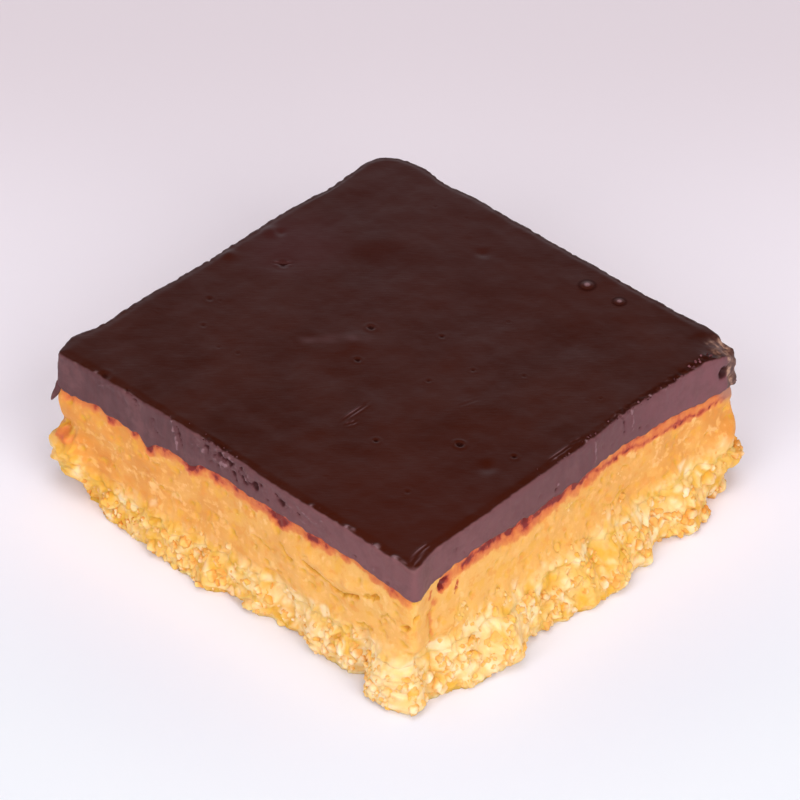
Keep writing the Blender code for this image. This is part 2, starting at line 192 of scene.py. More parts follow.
BASE_SWELLINGS = (
    ("front", -26.5, 0, 4.5, 2.5, -2.3), ("front", -25.6, 4.4, 1.5, 1.3, 1.3),
    ("front", -8.5, 1, 6.0, 4.0, 0.8), ("front", 7.5, 3, 3.5, 80, -1.0), ("front", 13.5, 1, 3.0, 4.0, 0.5),
    ("front", 25.0, 2, 5.0, 6.0, 1.7), ("right", -25.5, 3, 5.0, 80, -1.8),
    ("right", -13.9, 2, 2.9, 3.5, 2.0), ("right", -13.5, 1.5, 1.2, 3.0, 1.0),
    ("right", 6.0, 1.5, 5.0, 4.0, 1.2), ("right", 26.5, 0, 3.0, 4.0, -2.6),
    ("right", 26.0, 4.8, 2.2, 1.4, 1.5), ("back", 26.4, 4.4, 2.2, 1.3, 0.5),
    ("left", -26.0, 0, 6.0, 2.5, -2.3), ("front", -2.6, 1, 1.3, 4.0, 1.3), ("front", 4.4, 1, 1.2, 4.0, 0.8),
    ("front", 11.3, 1, 1.2, 4.0, -1.0), ("front", 20.9, 1, 1.3, 80, -1.5),
    ("right", -26.8, 1.5, 1.2, 3.0, 1.3), ("right", -0.8, 1, 1.3, 4.0, 0.9),
    ("right", 4.0, 1, 1.3, 4.0, 0.8), ("right", 9.1, 1, 1.3, 4.0, 1.3), ("right", 16.6, 1, 1.5, 4.0, 0.6),
    ("right", 22.2, 0, 1.6, 3.0, -1.2), ("right", 19.6, 0, 1.4, 2.5, 0.9),
    ("front", -23.4, 0, 0.9, 2.2, 0.5), ("front", -20.7, 0, 1.2, 2.2, 0.45),
)


def corner_radii(usual, right_front=None):
    """Corner radii by (right of centre, back of centre): one is the tray's, and one can be set apart."""
    radii = {(right, back): usual for right in (False, True) for back in (False, True)}
    radii[TRAY_CORNER] = TRAY_RADIUS
    if right_front:
        radii[(True, False)] = right_front
    return radii


def between_corners(first, second, share):
    """Corner radii on the way from one set to another."""
    return {corner: radius + share * (second[corner] - radius) for corner, radius in first.items()}


CHOCOLATE_CORNERS = corner_radii(0.5 * MM)
FILLING_CORNERS = corner_radii(0.8 * MM)
BASE_CORNERS = corner_radii(3.2 * MM, 1.3 * MM)
print("plan", round(2 * HALF_X / MM, 1), "by", round(2 * HALF_Y / MM, 1), "mm")

# %% [markdown]
# ## Rules of the plan
#
# Each layer is described by a rule that takes a point of a unit block to its place. The first step of
# every rule is `plan`: it takes a point of a flat sheet from -1 to 1 to the square with its corners, and
# says which way is out. The others look up the tables. The rules hold the same sizes as the frame, so the
# fine layers land on the plain ones.

# %% Write the rules of the plan
def plan(a, b, radii):
    """A point of the unit sheet: its place, the way out through the nearest wall, and how far in it is."""
    x, y = a * HALF_X, b * HALF_Y
    radius = radii[(a > 0, b > 0)]
    over_x, over_y = abs(x) - HALF_X + radius, abs(y) - HALF_Y + radius
    side_x, side_y = math.copysign(1, x), math.copysign(1, y)
    if over_x > 0 and over_y > 0:
        reach, length = max(over_x, over_y), math.hypot(over_x, over_y)
        out = (over_x / length, over_y / length)
        x = side_x * (HALF_X - radius + reach * out[0])
        y = side_y * (HALF_Y - radius + reach * out[1])
        return x, y, side_x * out[0], side_y * out[1], radius - reach
    if over_x - radius > over_y - radius:
        return x, y, side_x, 0.0, HALF_X - abs(x)
    return x, y, 0.0, side_y, HALF_Y - abs(y)


def swelling(table, x, y, z, out_x, out_y):
    """How far the shifts of this table push the wall out here."""
    total = 0.0
    for wall, place, height, half_width, half_height, shift in table:
        way_x, way_y = WALL_WAYS[wall]
        facing = max(0.0, out_x * way_x + out_y * way_y)
        if facing > 0:
            along = (y if way_x else x) / MM
            away = ((along - place) / half_width) ** 2 + ((z / MM - height) / half_height) ** 2
            total += shift * MM * facing * math.exp(-away)
    return total


def near_walls(table, x, y, reach):
    """Adds up a table's rows (wall, place, half width, amount) along each axis, fading inwards."""
    along_x = along_y = 0.0
    for wall, place, half_width, amount in table:
        way_x, way_y = WALL_WAYS[wall]
        depth = HALF_X - x * way_x if way_x else HALF_Y - y * way_y
        if depth < reach:
            away = ((y if way_x else x) / MM - place) / half_width
            here = amount * MM * math.exp(-away * away) * (1 - smooth(depth / reach))
            along_x, along_y = along_x + way_x * here, along_y + way_y * here
    return along_x, along_y


def knife_line(x, y, share=1.0):
    """Where the knife's wandering takes a point near the walls: both walls of a corner keep their own line."""
    moved_x, moved_y = near_walls(KNIFE_WANDERS, x, y, 2 * MM)
    return x + share * moved_x, y + share * moved_y


def from_left_corner(x, y):
    """How far this place is from the left corner."""
    return math.hypot(x + HALF_X, y + HALF_Y)


def unevenness(x, y):
    """The slow unevenness of a cut wall."""
    return 0.22 * MM * wave(x, y, 0, 9 * MM, 1)


def spread(out_x, out_y):
    """How far the base spreads past the wall that faces this way."""
    return sum(
        BASE_SPREAD[wall] * max(0.0, out_x * way[0] + out_y * way[1]) ** 2 for wall, way in WALL_WAYS.items()
    )


def lower_wall(x, y, z, out_x, out_y):
    """How far the wall stands out: the base and the filling both ask this, so they meet without a ledge."""
    foot = under_filling(x, y)
    bulge = spread(out_x, out_y) * (1 + 0.5 * wave(x, y, 0, 8 * MM, 11)) * (1 - smooth(z / (foot + 5 * MM)))
    swells = swelling(BASE_SWELLINGS, x, y, z, out_x, out_y) * (1 - smooth((z - foot) / (2.5 * MM)))
    swells += swelling(FILLING_SWELLINGS, x, y, z, out_x, out_y) + unevenness(x, y)
    return bulge + swells + MM * (0.26 * wave(x, y, z, 6 * MM, 9) + 0.15 * wave(x, y, z, 2.4 * MM, 10))


def under_chocolate(x, y):
    """Height of the seam between filling and chocolate."""
    u, v = x / HALF_X, y / HALF_Y
    thickness = CHOCOLATE_THICKNESS + MM * (-0.15 * u + 0.45 * v + 0.45 * u * v - 0.7 * (1 - u * u * v * v))
    dips = sum(abs(way) for way in near_walls(SEAM_DIPS, x, y, 5 * MM))
    return HEIGHT - thickness - dips + 0.32 * MM * wave(x, y, 0, 4.5 * MM, 2)


def under_filling(x, y):
    """Height of the seam between base and filling."""
    u, v = x / HALF_X, y / HALF_Y
    return BASE_HEIGHT + MM * (0.65 * u + 0.5 * v - 0.25 * u * v) + 0.5 * MM * wave(x, y, 0, 7 * MM, 3)


seams = under_filling(0, 0), under_chocolate(0, 0)
print("seams in the middle at", [round(seam / MM, 2) for seam in seams], "mm")

# %% [markdown]
# ## How a layer becomes a mesh
#
# A layer could be sculpted, or a cube could be subdivided and displaced, but both waste points on faces
# that are hidden inside the bar. Here the walls are rings of points stacked from bottom to top, so the
# fine rows are where the cut faces are. The lids are smaller and smaller copies of the last ring. Only
# the chocolate's top, which shows all over, gets an even grid. The rule of the layer also returns a few
# numbers for each point, such as how high on a granule it lies. They are stored on the mesh as
# attributes, called marks here, and the finishes read them.

# %% Helpers for meshes
LID_SCALES = (0.985, 0.94, 0.7, 0.35)


def piece_from(name, points, faces, marks):
    """An object of these points and faces. Each mark is a name and one number for each point."""
    mesh = bpy.data.meshes.new(name)
    mesh.from_pydata(points, [], faces)
    for mark, values in marks.items():
        mesh.attributes.new(mark, "FLOAT", "POINT").data.foreach_set("value", values)
    mesh.shade_smooth()
    obj = bpy.data.objects.new(name, mesh)
    bpy.context.scene.collection.objects.link(obj)
    print(name, len(points), "points", sum(len(face) - 2 for face in faces), "triangles")
    return obj


def edge_of_sheet(t):
    """The point of the unit sheet's edge at t, where each whole number is a corner."""
    side, along = int(t) % 4, 2 * (t % 1) - 1
    return ((along, -1.0), (1.0, along), (-along, 1.0), (-1.0, -along))[side]


def skirt(lower, upper):
    """The faces between two rings of points."""
    count = len(lower)
    return [(lower[n], lower[(n + 1) % count], upper[(n + 1) % count], upper[n]) for n in range(count)]


def layer_mesh(name, rule, marks, columns, rows, grid_top=False):
    """A closed block around the rule: rule(a, b, c) gives a place and one number for each of the marks."""
    points, numbers, faces = [], [], []

    def add(a, b, c):
        place, values = rule(a, b, c)
        points.append(place - PLAN_CENTRE)
        numbers.append(values)
        return len(points) - 1

    around = 4 * columns
    edge = [edge_of_sheet(n / columns) for n in range(around)]

    def lid(ring, c, downwards):
        for scale in LID_SCALES:
            inner = [add(a * scale, b * scale, c) for a, b in edge]
            faces.extend(skirt(inner, ring) if downwards else skirt(ring, inner))
            ring = inner
        middle = add(0.0, 0.0, c)
        for n in range(around):
            pair = (ring[n], ring[(n + 1) % around])
            faces.append((middle, *pair[::-1]) if downwards else (middle, *pair))

    def grid(ring):
        number = {}
        for n in range(around):
            side, step = divmod(n, columns)
            cell = ((step, 0), (columns, step), (columns - step, columns), (0, columns - step))[side]
            number[cell] = ring[n]
        for i in range(1, columns):
            for j in range(1, columns):
                number[(i, j)] = add(2 * i / columns - 1, 2 * j / columns - 1, 1.0)
        for i in range(columns):
            for j in range(columns):
                faces.append((number[(i, j)], number[(i + 1, j)], number[(i + 1, j + 1)], number[(i, j + 1)]))

    rings = [[add(a, b, row / rows) for a, b in edge] for row in range(rows + 1)]
    for lower, upper in zip(rings, rings[1:]):
        faces.extend(skirt(lower, upper))
    lid(rings[0], 0.0, True)
    if grid_top:
        grid(rings[-1])
    else:
        lid(rings[-1], 1.0, False)
    return piece_from(name, points, faces, {mark: [row[n] for row in numbers] for n, mark in enumerate(marks)})


print("a lid has", len(LID_SCALES), "rings")

# %% [markdown]
# ## Strokes on the walls
#
# Every cut wall carries small marks: pits, drag lines, cracks, stains. All of them are written down in the
# same way, as a stroke between two places of a wall (millimetres along it, millimetres above the table)
# with a width and an amount. A dot is a stroke without length. One helper adds up the strokes near a
# point, and the rules use the sum as a height, as a depth or as the strength of a colour. The two walls
# that the photograph doesn't show get random strokes of the same kinds.

# %% Helpers for strokes
HIDDEN, SHOWN = ("back", "left"), ("front", "right")


def lines(*rows):
    """Strokes that join places one after another: each row is a wall, a width, an amount and the places."""
    return [
        (wall, *a, *b, width, amount)
        for wall, width, amount, *places in rows
        for a, b in zip(places, places[1:])
    ]


def dots(wall, *rows):
    """Strokes without length: each row is a place along the wall, a height, a width and an amount."""
    return [(wall, a, z, a, z, width, amount) for a, z, width, amount in rows]


def random_strokes(rng, walls, count, lowest, highest, width, amount, slant, drop):
    """Strokes at random places: slant and drop are the most that their far end is moved."""
    made = []
    for _ in range(count):
        a, z = rng.uniform(-26, 26), rng.uniform(lowest, highest)
        size = rng.uniform(0.6, 1.4)
        end = (a + rng.uniform(-slant, slant), z - rng.uniform(0, drop))
        made.append((rng.choice(walls), a, z, *end, width * size, amount * rng.uniform(0.5, 1.2)))
    return made


def by_place(strokes):
    """Sorts strokes by wall and place, so that a point looks only at those near it."""
    places = {}
    for wall, ax, az, bx, bz, width, amount in strokes:
        first, last = min(ax, bx) - 2.5 * width, max(ax, bx) + 2.5 * width
        for n in range(math.floor(first / 2), math.floor(last / 2) + 1):
            places.setdefault((wall, n), []).append((ax, az, bx, bz, width, amount))
    return places


def strokes_at(places, x, y, z, out_x, out_y):
    """The sum of the strokes at this point of a wall."""
    if abs(out_x) > abs(out_y):
        wall, along = "right" if out_x > 0 else "left", y / MM
    else:
        wall, along = "back" if out_y > 0 else "front", x / MM
    total = 0.0
    for ax, az, bx, bz, width, amount in places.get((wall, math.floor(along / 2)), ()):
        total += amount * bell(to_line(along, z / MM, ax, az, bx, bz)[0], width)
    return total


print("strokes ready for", len(WALL_WAYS), "walls")

# %% [markdown]
# ## The top of the chocolate
#
# Poured chocolate levels itself, so the top is nearly flat, but it isn't dead. It has slow swells, a few
# pits and pinholes with a raised rim where air escaped, two round bubbles near the right corner, shallow
# hollows, and scratches. Each row of these tables is a place in millimetres, a radius and a depth or a
# height.

# %% Marks on the chocolate's top
PITS = (
    (10.0, -13.9, 0.34, 0.18), (17.1, -7.9, 0.48, 0.28), (22.9, -5.3, 0.34, 0.18), (7.0, -2.2, 0.3, 0.12),
    (-4.4, 0.3, 0.46, 0.2), (-1.4, -5.0, 0.38, 0.2), (9.3, 2.7, 0.3, 0.10),
    (2.6, 4.7, 0.34, 0.12), (-18.6, -12.6, 0.34, 0.08), (-12.2, -13.4, 0.3, 0.07),
    (-21.6, -8.6, 0.42, 0.08), (18.6, -17.9, 0.34, 0.08), (14.2, 5.9, 0.28, 0.08), (23.1, 8.9, 0.24, 0.08),
    (-20.3, -26.6, 0.7, 0.10), (-16.6, -26.8, 0.4, 0.10), (-20.2, 2.0, 0.6, 0.16),
)
BUBBLES = ((8.3, 23.2, 0.66), (13.0, 23.5, 0.54))
HOLLOWS = (
    (-11.8, 9.2, 3.0, 0.22), (-20.0, 2.2, 1.3, 0.2), (-3.9, -3.0, 2.0, -0.22), (3.0, 12.0, 5.0, 0.12),
    (22.05, -8.7, 0.9, 0.2), (-1.2, -9.3, 1.6, 0.12), (3.5, -7.5, 1.5, 0.12), (-10.6, 14.3, 1.8, -0.07),
    (14.0, 14.5, 3.0, 0.10), (-15.6, 12.3, 2.2, -0.08), (26.3, -16.0, 0.8, -0.05), (-22.0, 16.0, 2.4, 0.14),
    (-4.6, 19.4, 0.7, 0.15), (-25.6, 5.4, 0.9, -0.22), (-24.6, 6.0, 0.6, 0.2),
    (-26.0, -1.1, 0.9, -0.25), (8.0, -1.0, 3.2, 0.10), (-7.0, -9.0, 3.0, 0.10), (16.0, -1.5, 3.4, -0.10),
)
LIP_BUMPS = (
    (12.5, -26.8, 0.3, 0.10), (17.8, -26.8, 0.45, 0.22), (18.6, -26.6, 0.3, 0.2), (22.3, -26.8, 0.5, 0.22),
    (25.0, -26.8, 0.5, 0.22), (25.9, -26.7, 0.3, 0.2), (-21.6, -26.8, 0.3, 0.08), (27.1, 8.3, 0.25, 0.12),
    (27.1, 2.2, 0.22, 0.10), (27.1, 13.2, 0.22, 0.10), (27.1, 18.0, 0.25, 0.12),
)
SCRATCHES = (
    (5.0, -14.6, 4.7, -9.3, 0.10), (5.7, -14.2, 6.15, -12.8, 0.09), (12.6, -3.2, 13.4, -0.6, 0.045),
    (26.45, -26.4, 26.3, -22.6, 0.16), (26.3, -3.4, 26.3, 0.6, 0.11), (26.0, 0.4, 26.4, 2.4, 0.08),
    (-21.2, 1.2, -19.4, 2.9, 0.10),
)
PALE_STREAK = (-8.6, -6.4, -3.4, -1.6)
PINHOLES = 26

rng = random.Random(5)
pinholes = []
for _ in range(PINHOLES):
    x, y = rng.uniform(-25, 25), rng.uniform(-25, 25)
    pinholes.append((x, y, rng.uniform(0.14, 0.26), rng.uniform(0.03, 0.07)))
top_marks = {}
for x, y, radius, depth in PITS + tuple(pinholes):
    reach = 3 * radius
    for i in range(math.floor(x - reach), math.floor(x + reach) + 1):
        for j in range(math.floor(y - reach), math.floor(y + reach) + 1):
            top_marks.setdefault((i, j), []).append((x, y, radius, depth))
print(len(PITS) + len(pinholes), "pits and pinholes")

# %% [markdown]
# ## The height of the top
#
# Each mark is a small bump or dent, made of bell curves that depend on the distance to it: a pit is a
# narrow bell down with a ring of bell up around it. All are added up in one height rule. The same sum
# also paints light and shade into the colour, so that colour and shape agree: painted shade in pits,
# scratch grooves and around bubbles, painted highlights on bubbles, scratch ridges and lip bumps. The
# edges roll down a little. The right-hand back corner has been knocked off, and the front corner is
# slightly blunted.

# %% Write the rule of the top
CHIP_REACH, CHIP_DROP = 4.8 * MM, 1.1 * MM
NICK_REACH, NICK_DROP = 0.7 * MM, 0.12 * MM
EDGE_ROLL, EDGE_ROLL_REACH = 0.14 * MM, 1.1 * MM
LIP_REACH = 0.7 * MM


def chipped(x, y):
    """From 0 to 1 towards the broken corner at the right and back."""
    away = math.hypot(HALF_X - x, HALF_Y - y) + 0.9 * MM * wave(x, y, 0, 2.2 * MM, 4)
    return smooth(1 - away / CHIP_REACH)


def nicked(x, y):
    """From 0 to 1 towards the blunted corner at the right and front."""
    return smooth(1.6 - math.hypot(HALF_X - x, HALF_Y + y) / NICK_REACH)


def rough_rim(mx, my):
    """How crumbly the edge of the top is here: along the right wall, and a little along the front."""
    right = smooth((mx - 25.9) / 0.7) * (0.3 * smooth((my + 8) / 3) + 0.7 * smooth((my - 4) / 4))
    front = smooth((-my - 26.0) / 0.6) * bell(mx + 1.5, 3.5)
    return max(right, 0.8 * front)


def small_marks(x, y):
    """The pits, bubbles, hollows and scratches here: their height, and a tint that paints light and shade on
    them, pale above 0 and dark below: painted shade in pits, scratch grooves and around bubbles, painted
    highlights on bubbles, scratch ridges and lip bumps, painted shade and glints along the rough rim, and a pale
    streak.
    """
    mx, my = x / MM, y / MM
    total = tint = 0.0
    for px, py, radius, depth in top_marks.get((math.floor(mx), math.floor(my)), ()):
        away = math.hypot(mx - px, 1.15 * (my - py))
        ring, hole = bell(away - 1.35 * radius, 0.5 * radius), bell(away, 0.8 * radius)
        total += depth * (0.35 * ring - hole)
        # painted shade in the pit, with a faint painted highlight on its rim
        tint += 1.6 * depth * (0.10 * ring - hole)
    for px, py, radius in BUBBLES:
        away = math.hypot(mx - px, my - py) / radius
        total += 0.32 * radius * bell(away, 0.85)
        # painted highlight on the bubble's crown and painted shade in a ring around it
        tint += 0.36 * bell(away, 0.55) - 0.16 * bell(away - 1.4, 0.4)
    for px, py, radius, depth in HOLLOWS:
        total -= depth * bell(math.hypot(mx - px, my - py), radius)
    for px, py, radius, high in LIP_BUMPS:
        bump = bell(math.hypot(mx - px, 1.3 * (my - py)), radius)
        total += high * bump * (1 + 0.9 * wave(x, y, 0, 0.45 * MM, 73))
        # painted highlight on each lip bump
        tint += 0.24 * bump * (1 + wave(x, y, 0, 0.5 * MM, 70))
    rim = rough_rim(mx, my)
    if rim > 0:
        total += rim * (0.12 * wave(x, y, 0, 0.7 * MM, 76) + 0.06 * wave(x, y, 0, 0.35 * MM, 77))
        # painted shade along the rough rim, with pale glints painted on its specks
        tint += rim * (0.5 * max(0.0, wave(x, y, 0, 0.6 * MM, 78) - 0.15) - 0.12)
    hazy = bell(to_line(mx, my, *PALE_STREAK)[0], 1.3)
    tint += hazy * (0.07 + 0.05 * wave(x, y, 0, 1.6 * MM, 74)) if hazy > 0.05 else 0.0
    for ax, ay, bx, by, depth in SCRATCHES:
        away, t = to_line(mx, my, ax, ay, bx, by)
        fade = math.sin(math.pi * t) ** 0.5
        ridge, groove = bell(away - 0.24, 0.12), bell(away, 0.13)
        total += fade * depth * (0.8 * ridge - groove)
        # painted highlight on the scratch's ridges and painted shade in its groove
        tint += fade * depth * (1.8 * ridge - 0.8 * groove)
    return total * MM, tint


def top_of_bar(x, y, inside):
    """Height of the poured chocolate, rolling down a little towards the cut walls."""
    roll = EDGE_ROLL * (1 - smooth(inside / EDGE_ROLL_REACH))
    swell = 0.14 * MM * wave(x, y, 0, 15 * MM, 5) + 0.05 * MM * wave(x, y, 0, 4 * MM, 6)
    chip = chipped(x, y)
    broken = CHIP_DROP * chip * (1 + 0.4 * wave(x, y, 0, 1.3 * MM, 7))
    crumbly = 0.0
    if chip > 0:
        crumbly = 0.25 * MM * chip * (wave(x, y, 0, 1.2 * MM, 17) + 0.5 * wave(x, y, 0, 0.5 * MM, 79))
    ripple = 0.014 * MM * wave(x, y, 0, 1.0 * MM, 18) + 0.045 * MM * wave(x, y, 0, 2.3 * MM, 19)
    lip = 0.07 * wave(x, y, 0, 0.9 * MM, 20) + 0.05 * wave(x, y, 0, 0.4 * MM, 60)
    lip *= 1 - smooth(inside / LIP_REACH)
    lowered = roll + broken + NICK_DROP * nicked(x, y)
    return HEIGHT - 0.1 * MM + swell - lowered + crumbly + ripple + lip * MM + small_marks(x, y)[0]


print("top in the middle at", round(top_of_bar(0, 0, HALF_Y) / MM, 2), "mm")

# %% [markdown]
# ## Marks on the cut sides of the chocolate
#
# A knife drags chocolate downwards as it cuts. The sides are nearly smooth, with a few drag lines from top
# to bottom, some small dark pits where it tore, and low ridges. An amount above 0 is a ridge, and one
# below 0 is a pit. `ROUGH_ZONES` are stretches where the wall is torn all over.

# %% List the marks on the sides
TORN_PITS = (
    (-4.0, 19.3, 0.2, 0.2), (-3.0, 18.8, 0.26, 0.2), (-1.7, 19.4, 0.22, 0.22), (-0.4, 19.0, 0.34, 0.42),
    (0.5, 18.2, 0.22, 0.24), (1.5, 19.3, 0.24, 0.26), (1.9, 18.2, 0.3, 0.34), (-2.1, 17.9, 0.2, 0.18),
    (0.9, 17.4, 0.2, 0.2), (3.9, 18.3, 0.42, 0.42), (4.7, 19.0, 0.22, 0.2), (8.1, 18.4, 0.4, 0.36),
    (7.2, 19.0, 0.22, 0.2), (10.6, 18.4, 0.22, 0.2), (5.9, 17.7, 0.2, 0.16), (-12.3, 18.7, 0.24, 0.12),
    (19.4, 17.6, 0.16, 0.3), (24.4, 16.8, 0.25, 0.12),
)
rng = random.Random(12)
CHOCOLATE_STROKES = by_place(
    lines(
        ("front", 0.13, 0.2, (-9.3, 20.3), (-8.9, 18.9), (-8.3, 17.6), (-8.2, 16.6)),
        ("front", 0.16, -0.15, (-8.5, 19.7), (-8.1, 18.7), (-7.6, 17.4)),
        ("front", 0.13, -0.16, (-16.6, 19.9), (-15.8, 20.1), (-15.1, 19.7), (-14.3, 19.6)),
        ("front", 0.10, -0.12, (-14.9, 19.2), (-14.1, 19.2)),
        ("front", 0.12, 0.10, (10.4, 19.5), (11.7, 19.1), (12.8, 18.6), (13.9, 18.7)),
        ("front", 0.11, 0.09, (9.8, 18.9), (10.9, 18.0), (12.6, 17.7)),
        ("front", 0.10, 0.08, (14.6, 18.6), (15.8, 18.0), (16.0, 17.2)),
        ("front", 0.18, -0.08, (-12.4, 18.0), (-11.6, 17.1), (-10.5, 16.9)),
        ("front", 0.16, 0.08, (-21.6, 19.7), (-20.7, 18.9), (-18.6, 20.1)),
        ("right", 0.10, 0.18, (10.1, 20.4), (10.2, 18.6), (10.1, 17.1)),
        ("right", 0.20, -0.12, (8.3, 20.3), (8.9, 19.0), (8.8, 17.6)),
        ("right", 0.12, 0.16, (3.3, 20.4), (3.4, 18.5), (3.3, 16.6)),
        ("right", 0.12, 0.06, (2.2, 19.2), (2.0, 16.8)),
        ("right", 0.14, 0.06, (15.4, 20.2), (15.5, 18.4)),
    )
    + [("front", a, z, a + 0.15, z - 0.1, size, -deep) for a, z, size, deep in TORN_PITS]
    + dots("front",
           (-2.5, 19.6, 0.22, 0.14), (-1.0, 18.3, 0.25, 0.16), (2.6, 18.9, 0.25, 0.16), (0.4, 19.6, 0.2, 0.16),
           (5.4, 18.6, 0.2, 0.12), (14.4, 19.5, 0.16, 0.2), (19.4, 17.6, 0.42, 0.14), (22.4, 17.4, 0.3, 0.12))
    + dots("right",
           (24.7, 17.5, 0.55, -1.1), (-2.9, 17.5, 0.22, 0.26), (-3.2, 16.8, 0.25, -0.2),
           (11.4, 16.7, 0.26, -0.18), (12.5, 16.4, 0.22, -0.14), (10.1, 19.7, 0.16, 0.16),
           (-12.5, 18.0, 0.3, -0.06), (6.4, 17.4, 0.3, -0.08), (-8.6, 16.9, 0.25, -0.1),
           (18.0, 18.2, 0.3, -0.06), (-22.7, 17.5, 0.3, 0.07), (25.9, 15.9, 0.4, -0.2))
    + random_strokes(rng, HIDDEN, 34, 16.8, 20.2, 0.2, -0.25, 0.4, 0.3)
    + random_strokes(rng, HIDDEN, 16, 19.0, 20.3, 0.11, 0.1, 0.5, 3.0)
    + random_strokes(rng, SHOWN, 14, 16.8, 19.8, 0.16, -0.1, 0.2, 0.3)
)
ROUGH_ZONES = by_place(lines(
    ("front", 1.1, 0.5, (-5.6, 18.9), (-1.0, 18.9), (2.4, 18.3)),
    ("front", 0.9, 0.2, (2.4, 18.3), (9.0, 18.3), (16.0, 18.0)),
    ("front", 0.7, 0.2, (-22.0, 18.8), (-14.0, 19.4)),
    ("right", 0.4, 0.3, (18.0, 20.2), (6.0, 20.2)),
    ("left", 1.2, 0.4, (-18.0, 18.5), (0.0, 18.8), (14.0, 18.0)),
    ("back", 1.2, 0.4, (-15.0, 18.8), (4.0, 18.0), (20.0, 18.6)),
))
print(len(CHOCOLATE_STROKES), "stretches of wall with marks")

# %% [markdown]
# ## The shape of the chocolate
#
# The lower edge is ragged, because the chocolate smears onto the filling, and flares out a little. The
# mark `cut` says how much of a point belongs to the cut side, so that the finish can turn from the shiny
# pour to the dull cut. On the cut side `stroke` says whether it is in a pit or on a ridge; on the top it
# carries the painted shade and painted highlights of the small marks. `tan` says where the broken corner
# is dusted with crumb.

# %% Shape the chocolate
COLUMNS_TOP, ROWS_TOP = 236, 20
CHOCOLATE_MARKS = ("cut", "tan", "stroke")
WALL_SKIN = 1.5 * MM


def chocolate_rule(a, b, c):
    """A point of the chocolate: a and b across the sheet, c from its underside to its top."""
    x, y, out_x, out_y, inside = plan(a, b, CHOCOLATE_CORNERS)
    near_wall = 1 - smooth(inside / WALL_SKIN)
    ragged = near_wall * MM * (0.28 * wave(x, y, 0, 1.7 * MM, 21) + 0.20 * wave(x, y, 0, 0.6 * MM, 22))
    low, high = under_chocolate(x, y) + ragged - 0.1 * MM, top_of_bar(x, y, inside)
    z = low + (high - low) * c
    chip = chipped(x, y)
    out, dull = 0.0, 0.0
    # on the top, stroke is the painted shade and painted highlights of the small marks
    stroke = small_marks(x, y)[1] if c == 1 else 0.0
    if near_wall > 0:
        flare = 0.3 * MM * (1 - c)
        ribs = 0.030 * wave(x, y, 0.2 * z, 1.6 * MM, 8) + 0.016 * wave(x, y, 0.12 * z, 0.5 * MM, 23)
        blots = 0.05 * wave(x, y, z, 1.1 * MM, 24) + 0.022 * wave(x, y, z, 0.4 * MM, 25)
        rough = strokes_at(ROUGH_ZONES, x, y, z, out_x, out_y)
        rough *= 0.5 * wave(x, y, z, 0.75 * MM, 27) + 0.35 * wave(x, y, z, 0.35 * MM, 66)
        jitter = 0.15 * MM * wave(x, y, z, 0.5 * MM, 67)
        on_wall = strokes_at(CHOCOLATE_STROKES, x + jitter, y + jitter, z + jitter, out_x, out_y) + rough
        edge = 0.16 * MM * smooth((z - high + 0.4 * MM) / (0.4 * MM))
        ragged_lip = 0.13 * wave(x, y, 0, 0.8 * MM, 28) * smooth((z - high + 0.9 * MM) / (0.9 * MM))
        corner = smooth(2.4 * chip - 1.1)
        broken = 0.3 * MM * corner * (pebbles(x, y, z, 1.4 * MM, 29) - 0.9)
        away = unevenness(x, y) + flare - edge + broken
        out = (away + MM * (ribs + blots + ragged_lip + on_wall)) * near_wall
        if c < 1:
            dull, stroke, chip = near_wall, on_wall * near_wall, corner
    flecks = 0.6 * wave(x, y, z, 1.0 * MM, 30) + 0.5 * wave(x, y, z, 0.4 * MM, 31)
    tan = smooth(2.0 * chip * (0.8 + flecks) - 0.2)
    rim = smooth(1 - inside / (0.4 * MM)) if c == 1 else 0.0
    faded = dull * (1 - smooth((z - high + 0.3 * MM) / (0.3 * MM)) * 0.4)
    cut = max(faded, 0.28 * rim, 0.4 * chip, 0.5 * nicked(x, y))
    x, y = knife_line(x, y)
    return Vector((x + out_x * out, y + out_y * out, z)), (cut, tan, stroke)


chocolate = layer_mesh("chocolate_pour", chocolate_rule, CHOCOLATE_MARKS, COLUMNS_TOP, ROWS_TOP, grid_top=True)

# %% [markdown]
# ## Finishes from nodes
#
# A finish is a small graph of nodes that ends in one Principled shader. The graphs here all start from
# the same three things: the place on the object in millimetres, noise of a given size, and the marks that
# the shapes stored. Then coats of colour are painted over a ground, one after another, and each coat has
# a share that says where it shows. The helpers keep each graph short enough to read.

# %% Helpers for nodes
def feed(tree, made, inputs):
    """Sets the inputs of a node: into each goes a number, a colour or the output of another node."""
    for socket, value in inputs.items():
        if isinstance(value, bpy.types.NodeSocket):
            tree.links.new(value, made.inputs[socket])
        else:
            made.inputs[socket].default_value = value


def node(tree, kind, inputs, **settings):
    """A new node of this kind with its settings and inputs."""
    made = tree.nodes.new("ShaderNode" + kind)
    for setting, value in settings.items():
        setattr(made, setting, value)
    feed(tree, made, inputs)
    return made


def finish_named(name):
    """A new material with its tree, its Principled shader and the place on the object in millimetres."""
    material = bpy.data.materials.new(name)
    material.use_nodes = True
    tree = material.node_tree
    place = node(tree, "TexCoord", {}).outputs["Object"]
    in_mm = node(tree, "VectorMath", {0: place, "Scale": 1000}, operation="SCALE").outputs[0]
    return material, tree, tree.nodes["Principled BSDF"], in_mm


def noise_of(tree, place, size, detail=2.0, rough=0.5, stretch=(1, 1, 1)):
    """Noise with grains of this many millimetres, stretched along an axis where its number is small."""
    stretched = node(tree, "VectorMath", {0: place, 1: stretch}, operation="MULTIPLY").outputs[0]
    inputs = {"Vector": stretched, "Scale": 1 / size, "Detail": detail, "Roughness": rough}
    return node(tree, "TexNoise", inputs).outputs["Fac"]


def mark_of(tree, name):
    """A number that the shape stored at each point."""
    return node(tree, "Attribute", {}, attribute_name=name).outputs["Fac"]


